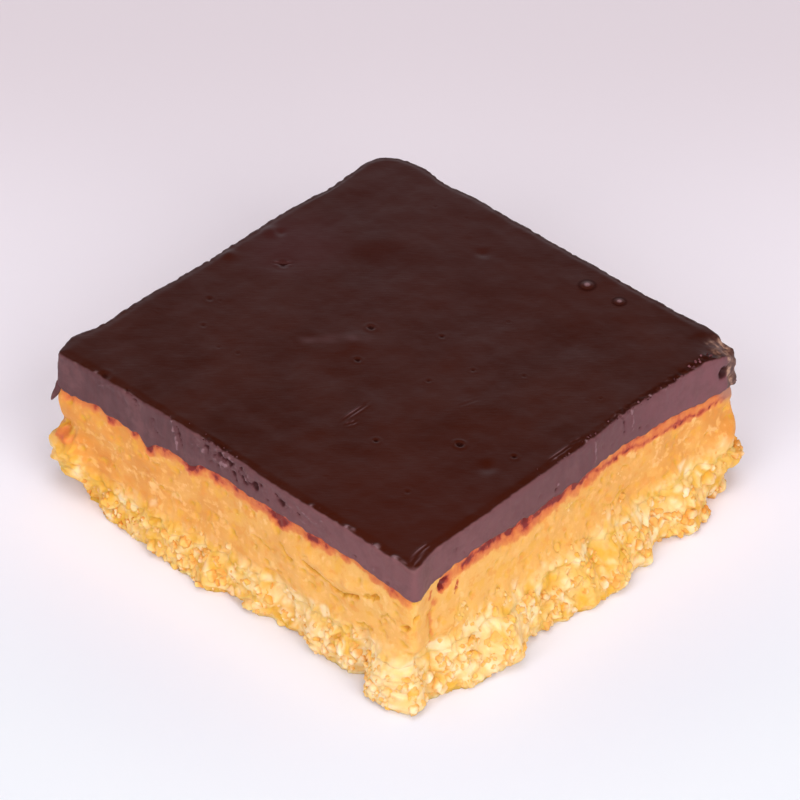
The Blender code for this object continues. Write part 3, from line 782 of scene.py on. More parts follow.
def ramp(tree, value, low, high, to_low=0.0, to_high=1.0):
    """Turns the range from low to high into another one, and holds its ends."""
    inputs = {"Value": value, "From Min": low, "From Max": high, "To Min": to_low, "To Max": to_high}
    return node(tree, "MapRange", inputs, interpolation_type="SMOOTHSTEP").outputs["Result"]


def sum_of(tree, first, second, operation="ADD"):
    """Two numbers added, multiplied or subtracted."""
    return node(tree, "Math", {0: first, 1: second}, operation=operation).outputs[0]


def painted(tree, ground, *coats):
    """Paints coats over a ground colour, one after another: each coat is a share from 0 to 1 and a colour."""
    for share, coat in coats:
        below, above = ((*colour, 1) if isinstance(colour, tuple) else colour for colour in (ground, coat))
        ground = node(tree, "Mix", {"Factor": share, 6: below, 7: above}, data_type="RGBA").outputs[2]
    return ground


def colours_by(tree, value, *stops):
    """Colours along a number: each stop is a place from 0 to 1 and a colour."""
    made = node(tree, "ValToRGB", {"Fac": value})
    elements = made.color_ramp.elements
    while len(elements) < len(stops):
        elements.new(0.5)
    for element, (place, colour) in zip(elements, stops):
        element.position, element.color = place, (*colour, 1)
    return made.outputs["Color"]


def turned_by(tree, place, degrees):
    """The place seen from axes that are turned about the upright one."""
    inputs = {"Vector": place, "Angle": math.radians(degrees)}
    return node(tree, "VectorRotate", inputs, rotation_type="Z_AXIS").outputs["Vector"]


def near_spot(tree, place, spot, near, far, most):
    """A share that is highest near a spot in millimetres and fades to nothing at a distance."""
    away = node(tree, "VectorMath", {0: place, 1: spot}, operation="DISTANCE").outputs["Value"]
    return ramp(tree, away, near, far, most, 0.0)


def raise_by(tree, shader, *layers):
    """Chains bumps: each layer is a height, the millimetres that it stands and its strength."""
    below = {}
    for height, millimetres, strength in layers:
        inputs = {"Height": height, "Distance": millimetres * MM, "Strength": strength, **below}
        below = {"Normal": node(tree, "Bump", inputs).outputs["Normal"]}
    feed(tree, shader, below)


def glow_inside(tree, shader, weight, reach, scale):
    """Lets light into the surface: reach is how far red, green and blue travel, in parts of the scale."""
    inputs = {"Subsurface Weight": weight, "Subsurface Radius": reach, "Subsurface Scale": scale * MM}
    feed(tree, shader, inputs)


print("helpers for finishes ready")

# %% [markdown]
# ## The chocolate's finish
#
# Dark chocolate that set by itself has a satin skin: nearly black brown, with a soft sheen and fine lines
# where the palette knife passed. Where the knife went through, fat and sugar are smeared over the cut, and
# it looks paler, dull and slightly mauve. One finish covers both, and the mark `cut` decides between
# them. Pits in the cut show the dark inside, ridges are paler. On the top, the mark `stroke` carries
# painted shade in pits and painted highlights on bubbles, scratch ridges and lip bumps. The broken corner
# is dusted with tan flakes. Slow changes across the whole bar are painted with shares that fade with the
# distance from a named spot, and these are painted light: a paler, bluer sheen towards the back corner,
# a pale reflection at the back left, shade in the broad hollow on the left, a redder top without sheen
# towards the front corner, and cut walls that are paler towards the front and right-hand back corners.

# %% Finish the chocolate
# spots where painted light, sheen and shade are strongest
FRONT_CORNER, TOP_FRONT = (27.0, -27.0, 12.0), (27.0, -27.0, 20.4)
BACK_CORNER, RIGHT_CORNER = (-27.0, 27.0, 20.4), (27.0, 27.0, 18.0)
# places of a painted reflection and of painted shade in a hollow, on the top
PAINTED_SHEEN_PLACE, PAINTED_SHADE_PLACE = (-23.0, 5.5, 20.4), (-11.5, 8.0, 20.4)
CAMERA_TURN = -43.5


def chocolate_finish():
    """Satin brown where it was poured, dull mauve where it was cut, tan where it broke, with painted sheen,
    reflection, shade and highlights in places.
    """
    material, tree, shader, place = finish_named("dark_chocolate")
    cut, tan, stroke = (mark_of(tree, mark) for mark in CHOCOLATE_MARKS)
    cloud = noise_of(tree, place, 9.0, 2)
    fine = noise_of(tree, place, 0.45, 4, 0.6)
    brushed = noise_of(tree, turned_by(tree, place, CAMERA_TURN), 0.30, 3, 0.55, (0.22, 1, 1))
    streaks = noise_of(tree, place, 0.8, 3, 0.55, (1, 1, 0.16))
    blots = noise_of(tree, place, 1.8, 3, 0.6)
    haze = noise_of(tree, place, 3.2, 4, 0.6)
    flakes = noise_of(tree, place, 1.0, 3, 0.5)
    pour = painted(
        tree, (0.0335, 0.0044, 0.0008),
        (ramp(tree, cloud, 0.3, 0.7), (0.0415, 0.0064, 0.0019)),
        (ramp(tree, haze, 0.44, 0.70, 0.0, 0.8), (0.0415, 0.0094, 0.0058)),
        # painted sheen: paler and bluer towards the back corner
        (near_spot(tree, place, BACK_CORNER, 6, 58, 0.45), (0.038, 0.0092, 0.0078)),
        # painted reflection: a pale sheen at the back left of the top
        (near_spot(tree, place, PAINTED_SHEEN_PLACE, 1.5, 9, 0.6), (0.054, 0.0150, 0.0150)),
        # painted shade in the broad hollow on the left of the top
        (near_spot(tree, place, PAINTED_SHADE_PLACE, 1, 7, 0.2), (0.036, 0.0058, 0.0030)),
        # painted shade: the top redder and without sheen towards the front corner
        (near_spot(tree, place, TOP_FRONT, 2, 34, 0.75), (0.045, 0.0052, 0.0008)),
        # on the top, painted shade in pits and grooves; on the cut sides, the dark inside of pits
        (ramp(tree, stroke, -0.02, -0.22, 0.0, 0.85), (0.014, 0.0024, 0.0018)),
        # on the top, painted highlights on bubbles, scratch ridges and lip bumps; on the cut sides, paler ridges
        (ramp(tree, stroke, 0.03, 0.30), (0.22, 0.120, 0.130)),
    )
    dull = painted(
        tree, (0.073, 0.0170, 0.0200),
        (ramp(tree, streaks, 0.3, 0.72), (0.098, 0.0255, 0.0285)),
        # painted light: cut walls paler towards the right-hand back corner and towards the front corner
        (near_spot(tree, place, RIGHT_CORNER, 3, 34, 0.75), (0.185, 0.057, 0.068)),
        (near_spot(tree, place, FRONT_CORNER, 2, 40, 0.8), (0.190, 0.070, 0.074)),
        (ramp(tree, blots, 0.42, 0.68, 0.0, 0.5), (0.108, 0.034, 0.037)),
        (ramp(tree, haze, 0.52, 0.68, 0.0, 0.5), (0.150, 0.052, 0.054)),
        (ramp(tree, stroke, -0.03, -0.26), (0.045, 0.010, 0.010)),
        (ramp(tree, stroke, 0.04, 0.17, 0.0, 0.8), (0.26, 0.135, 0.15)),
    )
    mixed = sum_of(tree, ramp(tree, flakes, 0.3, 0.7), ramp(tree, blots, 0.3, 0.7), "MULTIPLY")
    dusted = colours_by(tree, mixed, (0.0, (0.060, 0.020, 0.015)), (0.14, (0.105, 0.045, 0.034)),
                        (0.32, (0.19, 0.095, 0.066)), (0.6, (0.40, 0.23, 0.16)))
    sheen = sum_of(tree, ramp(tree, cloud, 0.3, 0.7, 0.28, 0.33), ramp(tree, fine, 0.3, 0.7, 0.0, 0.04))
    shine = ramp(tree, stroke, -0.02, -0.16, 0.5, 0.15)
    feed(tree, shader, {
        "Base Color": painted(
            tree, pour,
            (ramp(tree, cut, 0.15, 0.85), dull),
            (ramp(tree, tan, 0.0, 1.0), dusted),
        ),
        "Roughness": sum_of(tree, sheen, ramp(tree, cut, 0.1, 0.8, 0.0, 0.24)),
        "Specular IOR Level": sum_of(tree, shine, near_spot(tree, place, TOP_FRONT, 2, 40, 0.1), "SUBTRACT"),
    })
    lines_of_knife = sum_of(tree, brushed, ramp(tree, cut, 0.0, 0.5, 1.0, 0.0), "MULTIPLY")
    ribs = sum_of(tree, ramp(tree, streaks, 0.2, 0.8), cut, "MULTIPLY")
    crumbly = sum_of(tree, ramp(tree, flakes, 0.3, 0.7), ramp(tree, tan, 0.0, 1.0), "MULTIPLY")
    raise_by(
        tree, shader,
        (lines_of_knife, 0.018, 0.8), (fine, 0.012, 0.5), (ribs, 0.018, 0.5), (crumbly, 0.07, 0.6),
    )
    return material


chocolate_look = chocolate_finish()
chocolate.data.materials.append(chocolate_look)
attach(chocolate, "root")
print("chocolate finished with", len(chocolate_look.node_tree.nodes), "nodes")

# %% [markdown]
# ## Where the filling turns to crumb
#
# There is no sharp line between filling and base: the smooth paste is thick with granules further down,
# and the base is the same paste with more of them. So both layers ask one helper, `crumb_wall`, and its
# share of crumb grows over the last few millimetres above the seam. Granules of two
# sizes are added up to make the wall lumpy, some of them are pale, and a few pits are left between them.
# Pale ones gather towards the right front corner.

# %% The wall of crumb
OVERLAP = 1.7 * MM
LARGE_GRANULE, SMALL_GRANULE = 2.1 * MM, 1.2 * MM
PALE_REACH = 28 * MM


def paleness(x, y):
    """The share of pale granules: they gather towards the right front corner and are few at the left one."""
    near_front = smooth(1 - math.hypot(x - HALF_X, y + HALF_Y) / PALE_REACH)
    return 0.45 + 0.55 * near_front - 0.4 * smooth(1.5 - from_left_corner(x, y) / (4.5 * MM))


def crumb_wall(x, y, z):
    """The crumb of a wall: how far it stands out, how high on a granule, how pale, and the share of crumb."""
    at_left = smooth(1.5 - from_left_corner(x, y) / (3.5 * MM))
    above = (z - under_filling(x, y)) / MM - 2.6 * at_left
    share = smooth((2.9 - above) / 4.2)
    if share == 0:
        return 0.0, 1.0, 0.0, 0.0
    big, own_big = granules(x, y, z, LARGE_GRANULE, 13)
    small, own_small = granules(x, y, z, SMALL_GRANULE, 40)
    soft = 0.22 * wave(x, y, z, 1.3 * MM, 62) + 0.06 * wave(x, y, z, 0.6 * MM, 63)
    pit = 0.4 * wall_pits(x, y, z, 1.7 * MM, 65, 0.14)
    lumps = 0.65 * wave(x, y, z, 3.4 * MM, 12) + soft - pit
    lumps += 0.6 * (big - 0.45) * (0.4 + own_big) + 0.2 * (small - 0.45) * (0.4 + own_small)
    likely = paleness(x, y) * share * (1.1 + 1.3 * wave(x, y, z, 5 * MM, 80))
    ground = min(0.8, 0.5 * share + wave(x, y, z, 2.6 * MM, 82) + likely - 0.75)
    light = max(big * min(1.0, 2.2 * share) if own_big < 0.6 * likely else 0.0, ground * (0.65 + 0.6 * small))
    crown = 1 - share * (1 - min(1.0, max(0.0, 0.5 * big + 0.35 * small + 0.9 * soft + 0.2 - 1.6 * pit)))
    return MM * lumps * share, crown, light, share


shares = paleness(0, 0), paleness(HALF_X, -HALF_Y)
print("pale granules in the middle and at the front corner:", [round(share, 2) for share in shares])

# %% [markdown]
# ## Marks on the filling
#
# The filling is a stiff paste of peanut butter. The knife leaves it smooth, with a few creases, and a
# crack runs along the front near the right end, with a smooth raised patch above it. `TEARS` lists the
# cracks and holes, and `RAISED` lists the low ridges. `STAINS` lists where the knife pulled melted
# chocolate into the paste, and its heights are millimetres below the seam, so that the stains follow it.

# %% List the marks on the filling
CRACK = (
    (11.4, 11.9), (12.5, 11.5), (13.5, 11.5), (14.5, 11.3), (15.3, 10.9), (15.9, 10.6), (17.0, 10.4),
    (18.4, 11.0), (19.8, 11.6), (20.6, 12.2), (21.6, 12.6), (22.7, 13.2),
)
rng = random.Random(33)
TEARS = by_place(
    lines(
        ("front", 0.22, 0.75, *CRACK[:5]), ("front", 0.2, 0.8, *CRACK[5:9]), ("front", 0.2, 0.5, *CRACK[9:]),
        ("front", 0.18, 0.45, (8.0, 12.2), (8.6, 11.6), (9.6, 10.9)),
        ("front", 0.16, 0.18, (3.0, 10.6), (4.4, 10.9), (5.6, 10.4), (6.8, 10.6)),
        ("front", 0.15, 0.35, (19.4, 7.6), (20.4, 8.0), (21.8, 8.2)),
        ("front", 0.13, 0.3, (23.2, 10.9), (24.2, 11.6), (25.0, 11.4)),
        ("front", 0.2, 0.16, (-13.0, 9.6), (-11.2, 9.0), (-9.6, 9.2)),
        ("front", 0.2, 0.16, (-3.6, 9.8), (-3.9, 8.6), (-3.0, 7.6)),
        ("right", 0.4, 0.2, (-23.5, 11.5), (-23.6, 9.0), (-23.4, 6.6)),
        ("right", 0.08, 0.16, (-18.5, 11.2), (-19.0, 9.6), (-20.1, 8.8)),
        ("right", 0.14, 0.16, (0.6, 12.6), (2.2, 11.9), (4.0, 12.4)),
        ("right", 0.2, 0.2, (5.0, 9.4), (6.6, 8.6), (8.0, 9.4), (10.0, 9.0)),
    )
    + dots("front",
           (26.3, 11.5, 0.34, 0.7), (26.0, 10.4, 0.2, 0.35), (23.0, 9.9, 0.2, 0.3), (-25.6, 14.2, 0.45, 0.5),
           (-26.3, 9.6, 0.9, 0.6), (-23.4, 12.6, 0.4, 0.3), (7.1, 14.6, 0.75, 0.4), (-6.2, 15.4, 0.5, 0.5),
           (5.4, 8.4, 0.24, 0.3))
    + dots("right",
           (-21.3, 14.4, 0.6, 0.9), (-19.3, 12.4, 0.25, 0.35), (-26.2, 12.9, 0.3, 0.4), (22.4, 9.6, 0.3, 0.3),
           (17.2, 8.6, 0.3, 0.3), (19.4, 10.3, 0.24, 0.2))
    + random_strokes(rng, HIDDEN, 26, 8.0, 14.0, 0.2, 0.5, 1.6, 0.8)
    + random_strokes(rng, SHOWN, 34, 7.0, 14.0, 0.2, 0.22, 0.9, 0.5)
)
RAISED = by_place(lines(
    ("front", 0.9, 0.22, (12.6, 13.2), (15.4, 12.4), (18.6, 12.6), (20.6, 13.8)),
    ("front", 1.6, 0.15, (-25.0, 11.0), (-20.0, 12.6), (-12.0, 12.4)),
    ("right", 1.6, 0.2, (-12.0, 12.2), (-4.0, 11.8)),
    ("right", 1.2, 0.2, (6.0, 11.4), (14.0, 11.0)),
))
STAINS = by_place(
    lines(
        ("right", 0.55, 0.75, (-17.5, 1.0), (-14.0, 0.8), (-10.6, 0.8), (-8.0, 0.7), (-5.2, 0.9), (-2.6, 0.8),
         (0.4, 0.6)),
        ("right", 0.45, 0.55, (0.4, 0.7), (2.0, 1.0), (3.6, 0.6)),
        ("right", 1.0, 0.34, (-20.0, 1.4), (-8.0, 1.6), (3.0, 1.6)),
        ("right", 0.3, 0.4, (3.0, 0.4), (8.0, 0.3), (14.0, 0.5), (26.0, 0.3)),
        ("right", 0.85, 0.26, (3.0, 1.3), (10.0, 1.2), (18.0, 1.3), (26.5, 1.1)),
        ("right", 0.32, 0.5, (4.0, 1.3), (7.6, 1.7), (10.0, 1.5), (13.8, 1.9), (17.6, 2.0), (20.2, 1.7),
         (22.9, 1.8), (26.0, 1.2)),
        ("front", 1.0, 0.34, (-26.0, 0.5), (-11.0, 0.6), (4.0, 0.6), (14.0, 0.5), (26.0, 0.6)),
        ("front", 0.9, 0.2, (-2.0, 1.2), (8.0, 1.4), (15.0, 1.1)),
        ("right", 0.22, 0.4, (-23.4, 1.7), (-23.5, 2.6)),
        ("right", 0.2, 0.7, (-19.2, 3.1), (-19.4, 4.3)),
        ("right", 0.22, 0.6, (-18.0, 0.9), (-18.2, 1.8)),
        ("right", 0.4, 0.16, (-23.5, 4.4), (-23.4, 9.5)),
    )
    + dots("front",
           (-21.6, 0.6, 0.4, 0.35), (-19.3, 0.8, 0.6, 0.75), (-17.8, 0.6, 0.4, 0.4), (-15.4, 0.7, 0.45, 0.6),
           (-13.2, 0.7, 0.55, 0.9), (-12.0, 0.6, 0.4, 0.5), (-10.4, 0.7, 0.6, 0.3), (-6.6, 0.6, 0.8, 1.1),
           (-5.2, 0.7, 0.5, 0.8), (-2.6, 1.2, 0.7, 0.45), (-1.4, 1.4, 0.5, 0.45), (0.6, 1.0, 0.45, 0.4),
           (6.6, 1.1, 1.0, 0.9), (7.8, 1.5, 0.9, 0.8), (8.6, 1.0, 0.6, 0.5), (12.1, 0.9, 0.65, 0.75),
           (13.2, 1.0, 0.5, 0.4), (15.0, 1.2, 0.8, 0.28), (17.6, 0.9, 0.8, 0.28), (22.0, 1.2, 0.6, 0.3),
           (24.6, 1.1, 0.8, 0.4), (25.6, 1.3, 0.4, 0.5), (-25.9, 1.2, 0.5, 0.3), (-26.3, 6.8, 0.7, 0.3),
           (-26.5, 6.9, 0.6, 0.35), (-24.9, 6.2, 0.8, 0.2))
    + dots("right",
           (-21.3, 1.8, 0.62, 2.6), (-22.9, 3.6, 0.6, 0.34), (-10.5, 0.8, 0.4, 0.5), (-8.1, 0.7, 0.4, 0.45),
           (0.5, 0.6, 0.6, 0.5), (14.5, 0.9, 0.5, 0.4), (24.6, 0.8, 0.6, 0.3), (-13.6, 1.0, 0.3, 0.4))
    + random_strokes(rng, HIDDEN, 60, 0.3, 1.3, 0.5, 0.5, 2.0, 0.4)
)
print(len(TEARS), "stretches of wall with tears,", len(STAINS), "with stains")

# %% [markdown]
# ## The shape of the filling
#
# The filling's wall follows the knife, with slow swells, and was squeezed outwards at the left corner.
# Its marks hold what the finish needs: `torn` is the depth of a crack or pit, `stain` is how much melted
# chocolate was pulled into the paste, `light` is how pale a granule is, `crown` is high on a granule and
# low in the gap beside it, and `crumb` is the share of crumb.

# %% Shape the filling
COLUMNS_FILLING, ROWS_FILLING = 345, 63
MARKS = ("torn", "stain", "light", "crown", "crumb")
KNIFE_SHARE_BELOW = 0.8


def filling_rule(a, b, c):
    """A point of the filling: a and b across the sheet, c from its underside to its top."""
    x, y, out_x, out_y, inside = plan(a, b, between_corners(FILLING_CORNERS, BASE_CORNERS, smooth(1.1 - 2.2 * c)))
    near_wall = 1 - smooth(inside / WALL_SKIN)
    seam, foot = under_chocolate(x, y), under_filling(x, y)
    low, high = foot - OVERLAP, seam + 0.12 * MM
    z = low + (high - low) * c
    beneath = (seam - z) / MM
    out = torn = stain = light = share = 0.0
    crown = 1.0
    if near_wall > 0:
        lumps, crown, light, share = crumb_wall(x, y, z)
        fine = 0.05 * wave(x, y, 0.8 * z, 1.3 * MM, 34) + 0.012 * wave(x, y, z, 0.4 * MM, 35)
        deep = (foot - z) / OVERLAP + 0.5 * wave(x, y, z, 2.6 * MM, 32) + 0.3 * wave(x, y, z, 1.1 * MM, 33)
        sunk = max(smooth(deep) * smooth((foot + MM - z) / MM), smooth(1 - 12 * c))
        tuck = 0.15 * MM * smooth(4 * c - 3) + 0.7 * MM * sunk
        jx = MM * (0.3 * wave(x, y, z, 0.9 * MM, 39) + 0.2 * wave(x, y, z, 0.4 * MM, 71))
        jz = MM * (0.35 * wave(x, y, z, 0.9 * MM, 61) + 0.25 * wave(x, y, z, 0.4 * MM, 72))
        torn = max(0.0, strokes_at(TEARS, x + jx, y + jx, z + jz, out_x, out_y))
        torn += 0.25 * wall_pits(x, y, z, 1.3 * MM, 38, 0.025)
        raised = strokes_at(RAISED, x, y, z, out_x, out_y)
        stain = strokes_at(STAINS, x + jx, y + jx, beneath * MM + jz, out_x, out_y) + 0.16 * smooth(1.1 - beneath)
        crumbly = smooth(1.6 - from_left_corner(x, y) / (3.5 * MM)) * smooth((11 - z / MM) / 2)
        coarse = 0.8 * wave(x, y, z, 1.8 * MM, 68) + 0.6 * wave(x, y, z, 0.9 * MM, 69)
        crumbly *= coarse + 0.3 * wave(x, y, z, 0.5 * MM, 81)
        pushed = lower_wall(x, y, z, out_x, out_y) + lumps
        out = (pushed - tuck + MM * (fine + raised + crumbly - torn)) * near_wall
    x, y = knife_line(x, y, KNIFE_SHARE_BELOW)
    return Vector((x + out_x * out, y + out_y * out, z)), (torn, stain, light, crown, share)


filling = layer_mesh("nut_filling", filling_rule, MARKS, COLUMNS_FILLING, ROWS_FILLING)

# %% [markdown]
# ## The finish of the filling and the base
#
# Peanut butter is orange-tan and a little translucent, so some light goes in and comes back warmer. Slow
# clouds make parts of it peach and parts deeper orange, and it is painted paler towards the right front
# corner and on the right wall, as painted light. The base is painted over that by the mark `crumb`:
# yellow to cream, with toasted spots, and pale where `light` says so. The gaps between granules and the
# pits are a deeper orange, partly the paste that shows there and partly painted shade. Cracks are painted
# olive to burnt orange, darker the deeper they are, as painted shade. Just beneath the chocolate there is
# a rusty smear with dark red spots. Its strength comes from the mark `stain`, broken up by noise, and a
# row of colours turns the strength into orange, rust or dark red.

# %% Finish the filling
# RIGHT_WALL is where painted light on the filling is strongest
RIGHT_WALL, BARE_CORNER = (27.0, 2.0, 11.0), (27.0, 26.6, 14.6)


def paste_colour(tree, place):
    """The colour of the paste alone: slow clouds of orange and peach, with painted light that makes it paler
    towards the right front corner and on the right wall.
    """
    cloud = noise_of(tree, place, 3.6, 3, 0.55)
    patches = noise_of(tree, place, 1.3, 3, 0.55)
    yellow = noise_of(tree, place, 2.1, 3, 0.6)
    clouds = colours_by(tree, cloud, (0.34, (0.66, 0.250, 0.034)), (0.52, (0.72, 0.305, 0.052)),
                        (0.68, (0.77, 0.365, 0.080)))
    return painted(
        tree, clouds,
        # painted light: paler towards the right front corner
        (near_spot(tree, place, FRONT_CORNER, 4, 50, 0.6), (0.84, 0.50, 0.135)),
        # painted light: paler on the right wall
        (near_spot(tree, place, RIGHT_WALL, 4, 30, 0.4), (0.80, 0.45, 0.115)),
        (ramp(tree, patches, 0.53, 0.68, 0.0, 0.6), (0.87, 0.49, 0.16)),
        (ramp(tree, patches, 0.46, 0.34, 0.0, 0.5), (0.74, 0.28, 0.032)),
        (ramp(tree, yellow, 0.54, 0.68, 0.0, 0.6), (0.78, 0.39, 0.034)),
        (ramp(tree, yellow, 0.40, 0.30, 0.0, 0.6), (0.89, 0.55, 0.22)),
    )


def paste_finish(name):
    """Smooth paste that turns to crumb where the mark says so, torn and stained in places."""
    material, tree, shader, place = finish_named(name)
    torn, stain, light, crown, crumb = (mark_of(tree, mark) for mark in MARKS)
    grains = noise_of(tree, place, 0.3, 3, 0.55)
    baked = painted(
        tree, (0.78, 0.42, 0.055),
        (ramp(tree, noise_of(tree, place, 3.0, 3, 0.6), 0.36, 0.62), (0.88, 0.62, 0.29)),
        (ramp(tree, noise_of(tree, place, 1.6, 3, 0.6, (1, 1, 1.3)), 0.56, 0.68, 0.0, 0.5), (0.66, 0.29, 0.020)),
    )
    dry = painted(tree, (0.88, 0.60, 0.24), (noise_of(tree, place, 0.9, 3, 0.6), (0.95, 0.78, 0.54)))
    broken_up = ramp(tree, noise_of(tree, place, 1.1, 4, 0.6), 0.3, 0.7, 0.55, 1.35)
    strength = sum_of(tree, stain, broken_up, "MULTIPLY")
    smear = colours_by(tree, strength, (0.0, (0.77, 0.31, 0.062)), (0.25, (0.68, 0.205, 0.045)),
                       (0.5, (0.60, 0.135, 0.035)), (0.75, (0.44, 0.055, 0.020)), (1.0, (0.20, 0.012, 0.008)))
    colour = painted(
        tree, paste_colour(tree, place),
        (ramp(tree, grains, 0.60, 0.76, 0.0, 0.35), (0.70, 0.31, 0.030)),
        (ramp(tree, crumb, 0.15, 0.9, 0.0, 0.85), baked),
        # deeper orange in the gaps between granules and in pits: partly the paste there, partly painted shade
        (ramp(tree, crown, 0.65, 0.1, 0.0, 0.65), (0.73, 0.38, 0.024)),
        # painted shade in cracks and pits: olive to burnt orange, darker the deeper they are
        (ramp(tree, torn, 0.04, 0.22, 0.0, 0.8), (0.70, 0.36, 0.025)),
        (ramp(tree, torn, 0.25, 0.6), (0.62, 0.24, 0.015)),
        (ramp(tree, light, 0.05, 1.0, 0.0, 0.8), dry),
        (ramp(tree, strength, 0.05, 0.22), smear),
        (near_spot(tree, place, BARE_CORNER, 1.2, 2.8, 1.0), (0.42, 0.19, 0.12)),
    )
    rough = ramp(tree, crown, 0.4, 1.0, 0.72, 0.52)
    feed(tree, shader, {"Base Color": colour, "Roughness": rough, "Specular IOR Level": 0.33})
    glow_inside(tree, shader, 0.5, (1.0, 0.5, 0.2), 1.2)
    raise_by(tree, shader, (noise_of(tree, place, 1.1, 2), 0.06, 0.5), (grains, 0.012, 0.4))
    return material


filling_look = paste_finish("peanut_butter")
filling.data.materials.append(filling_look)
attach(filling, "root")
print("filling finished with", len(filling_look.node_tree.nodes), "nodes")

# %% [markdown]
# ## The base
#
# The base is crumb pressed together with fat. Its wall is the same paste of granules that the filling ends
# in, swollen outwards at its foot, and it tucks in a little at the table, as crumb does when the bar is
# lifted from its tray. Its top tucks in under the filling, so that no ledge shows. It has the same marks
# and the same finish as the filling, and the larger crumbs come later.

# %% Shape and finish the base
COLUMNS_BASE, ROWS_BASE = 335, 40
FLOOR_TUCK, FLOOR_TUCK_HEIGHT = 0.45 * MM, 1.0 * MM
TOP_TUCK, BASE_SKIN = 0.5 * MM, 2.5 * MM


def base_wall(a, b, c):
    """Where the base's wall is: its place, the way out, and its marks."""
    x, y, out_x, out_y, inside = plan(a, b, BASE_CORNERS)
    foot = under_filling(x, y)
    z = foot * c
    lumps, crown, light, share = crumb_wall(x, y, z)
    tuck = FLOOR_TUCK * smooth(1 - z / FLOOR_TUCK_HEIGHT) + TOP_TUCK * smooth(1 - (foot - z) / (0.6 * OVERLAP))
    out = (lower_wall(x, y, z, out_x, out_y) + lumps - tuck) * (1 - smooth(inside / BASE_SKIN))
    x, y = knife_line(x, y, KNIFE_SHARE_BELOW)
    return Vector((x + out_x * out, y + out_y * out, z)), (out_x, out_y), (0.0, 0.0, light, crown, share)


def base_rule(a, b, c):
    """A point of the base: a and b across the sheet, c from the floor to the filling."""
    place, _, marks = base_wall(a, b, c)
    return place, marks


base = layer_mesh("biscuit_base", base_rule, MARKS, COLUMNS_BASE, ROWS_BASE)
base_look = paste_finish("baked_crumb")
base.data.materials.append(base_look)
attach(base, "root")

# %% [markdown]
# ## The crumb's finish
#
# Loose crumbs are cream, golden or toasted. Within a kind, they are told apart by the Random Per Island
# output of the Geometry node, which gives each separate piece of a mesh its own number, so one finish
# serves hundreds of crumbs. Their tone is a sum: the crumb's own number, fine grain and slow patches. The
# mark `stands` says how far a point stands out of the wall. Where it is low, the crumb takes the colour
# of the paste, which hides the line where it sinks in.

# %% Make the crumb's finish
def crumb_finish(name, *colours):
    """A crumb finish along a row of colours from 0 to 1, by the crumb's own number."""
    material, tree, shader, place = finish_named(name)
    grains = noise_of(tree, place, 0.24, 4, 0.65)
    patches = noise_of(tree, place, 1.1, 3, 0.6)
    own = node(tree, "NewGeometry", {}).outputs["Random Per Island"]
    tone = sum_of(tree, ramp(tree, own, 0.0, 1.0, 0.15, 0.75), ramp(tree, grains, 0.3, 0.7, -0.12, 0.12))
    tone = sum_of(tree, tone, ramp(tree, patches, 0.3, 0.7, -0.2, 0.2))
    stops = [(n / (len(colours) - 1), colour) for n, colour in enumerate(colours)]
    buried = ramp(tree, mark_of(tree, "stands"), 0.5, -0.2)
    colour = painted(tree, colours_by(tree, tone, *stops), (buried, paste_colour(tree, place)))
    rough = ramp(tree, grains, 0.3, 0.7, 0.60, 0.80)
    feed(tree, shader, {"Base Color": colour, "Roughness": rough, "Specular IOR Level": 0.3})
    glow_inside(tree, shader, 0.3, (1.0, 0.6, 0.3), 0.4)
    raise_by(tree, shader, (grains, 0.03, 0.5), (noise_of(tree, place, 0.1, 2), 0.01, 0.4))
    return material


pale_look = crumb_finish("pale_crumb", (0.86, 0.56, 0.24), (0.90, 0.64, 0.35), (0.95, 0.76, 0.53))
golden_look = crumb_finish("golden_crumb", (0.78, 0.45, 0.065), (0.84, 0.555, 0.15), (0.90, 0.66, 0.29))
toasted_look = crumb_finish("toasted_crumb", (0.60, 0.26, 0.030), (0.72, 0.36, 0.080), (0.80, 0.45, 0.15))
print("crumb finished with", len(pale_look.node_tree.nodes), "nodes")

# %% [markdown]
# ## What a crumb is
#
# Crumbs could be instanced with a particle system or Geometry Nodes, but copies of one crumb look like
# copies. Each crumb here is a ball of triangles that is squashed, turned and knocked out of shape by
# noise, and all crumbs of a kind go into one mesh, called a heap here. Small crumbs get a coarser ball.

# %% Make heaps of crumbs
COARSE, FINE = 2, 3
FINE_FROM = 0.38 * MM
CRUMB_CUT = 0.8


def ball_of(subdivisions):
    """The points and faces of a ball of triangles."""
    bm = bmesh.new()
    bmesh.ops.create_icosphere(bm, subdivisions=subdivisions, radius=1)
    points = [vertex.co.copy() for vertex in bm.verts]
    faces = [[vertex.index for vertex in face.verts] for face in bm.faces]
    bm.free()
    return points, faces


BALLS = {detail: ball_of(detail) for detail in (COARSE, FINE)}


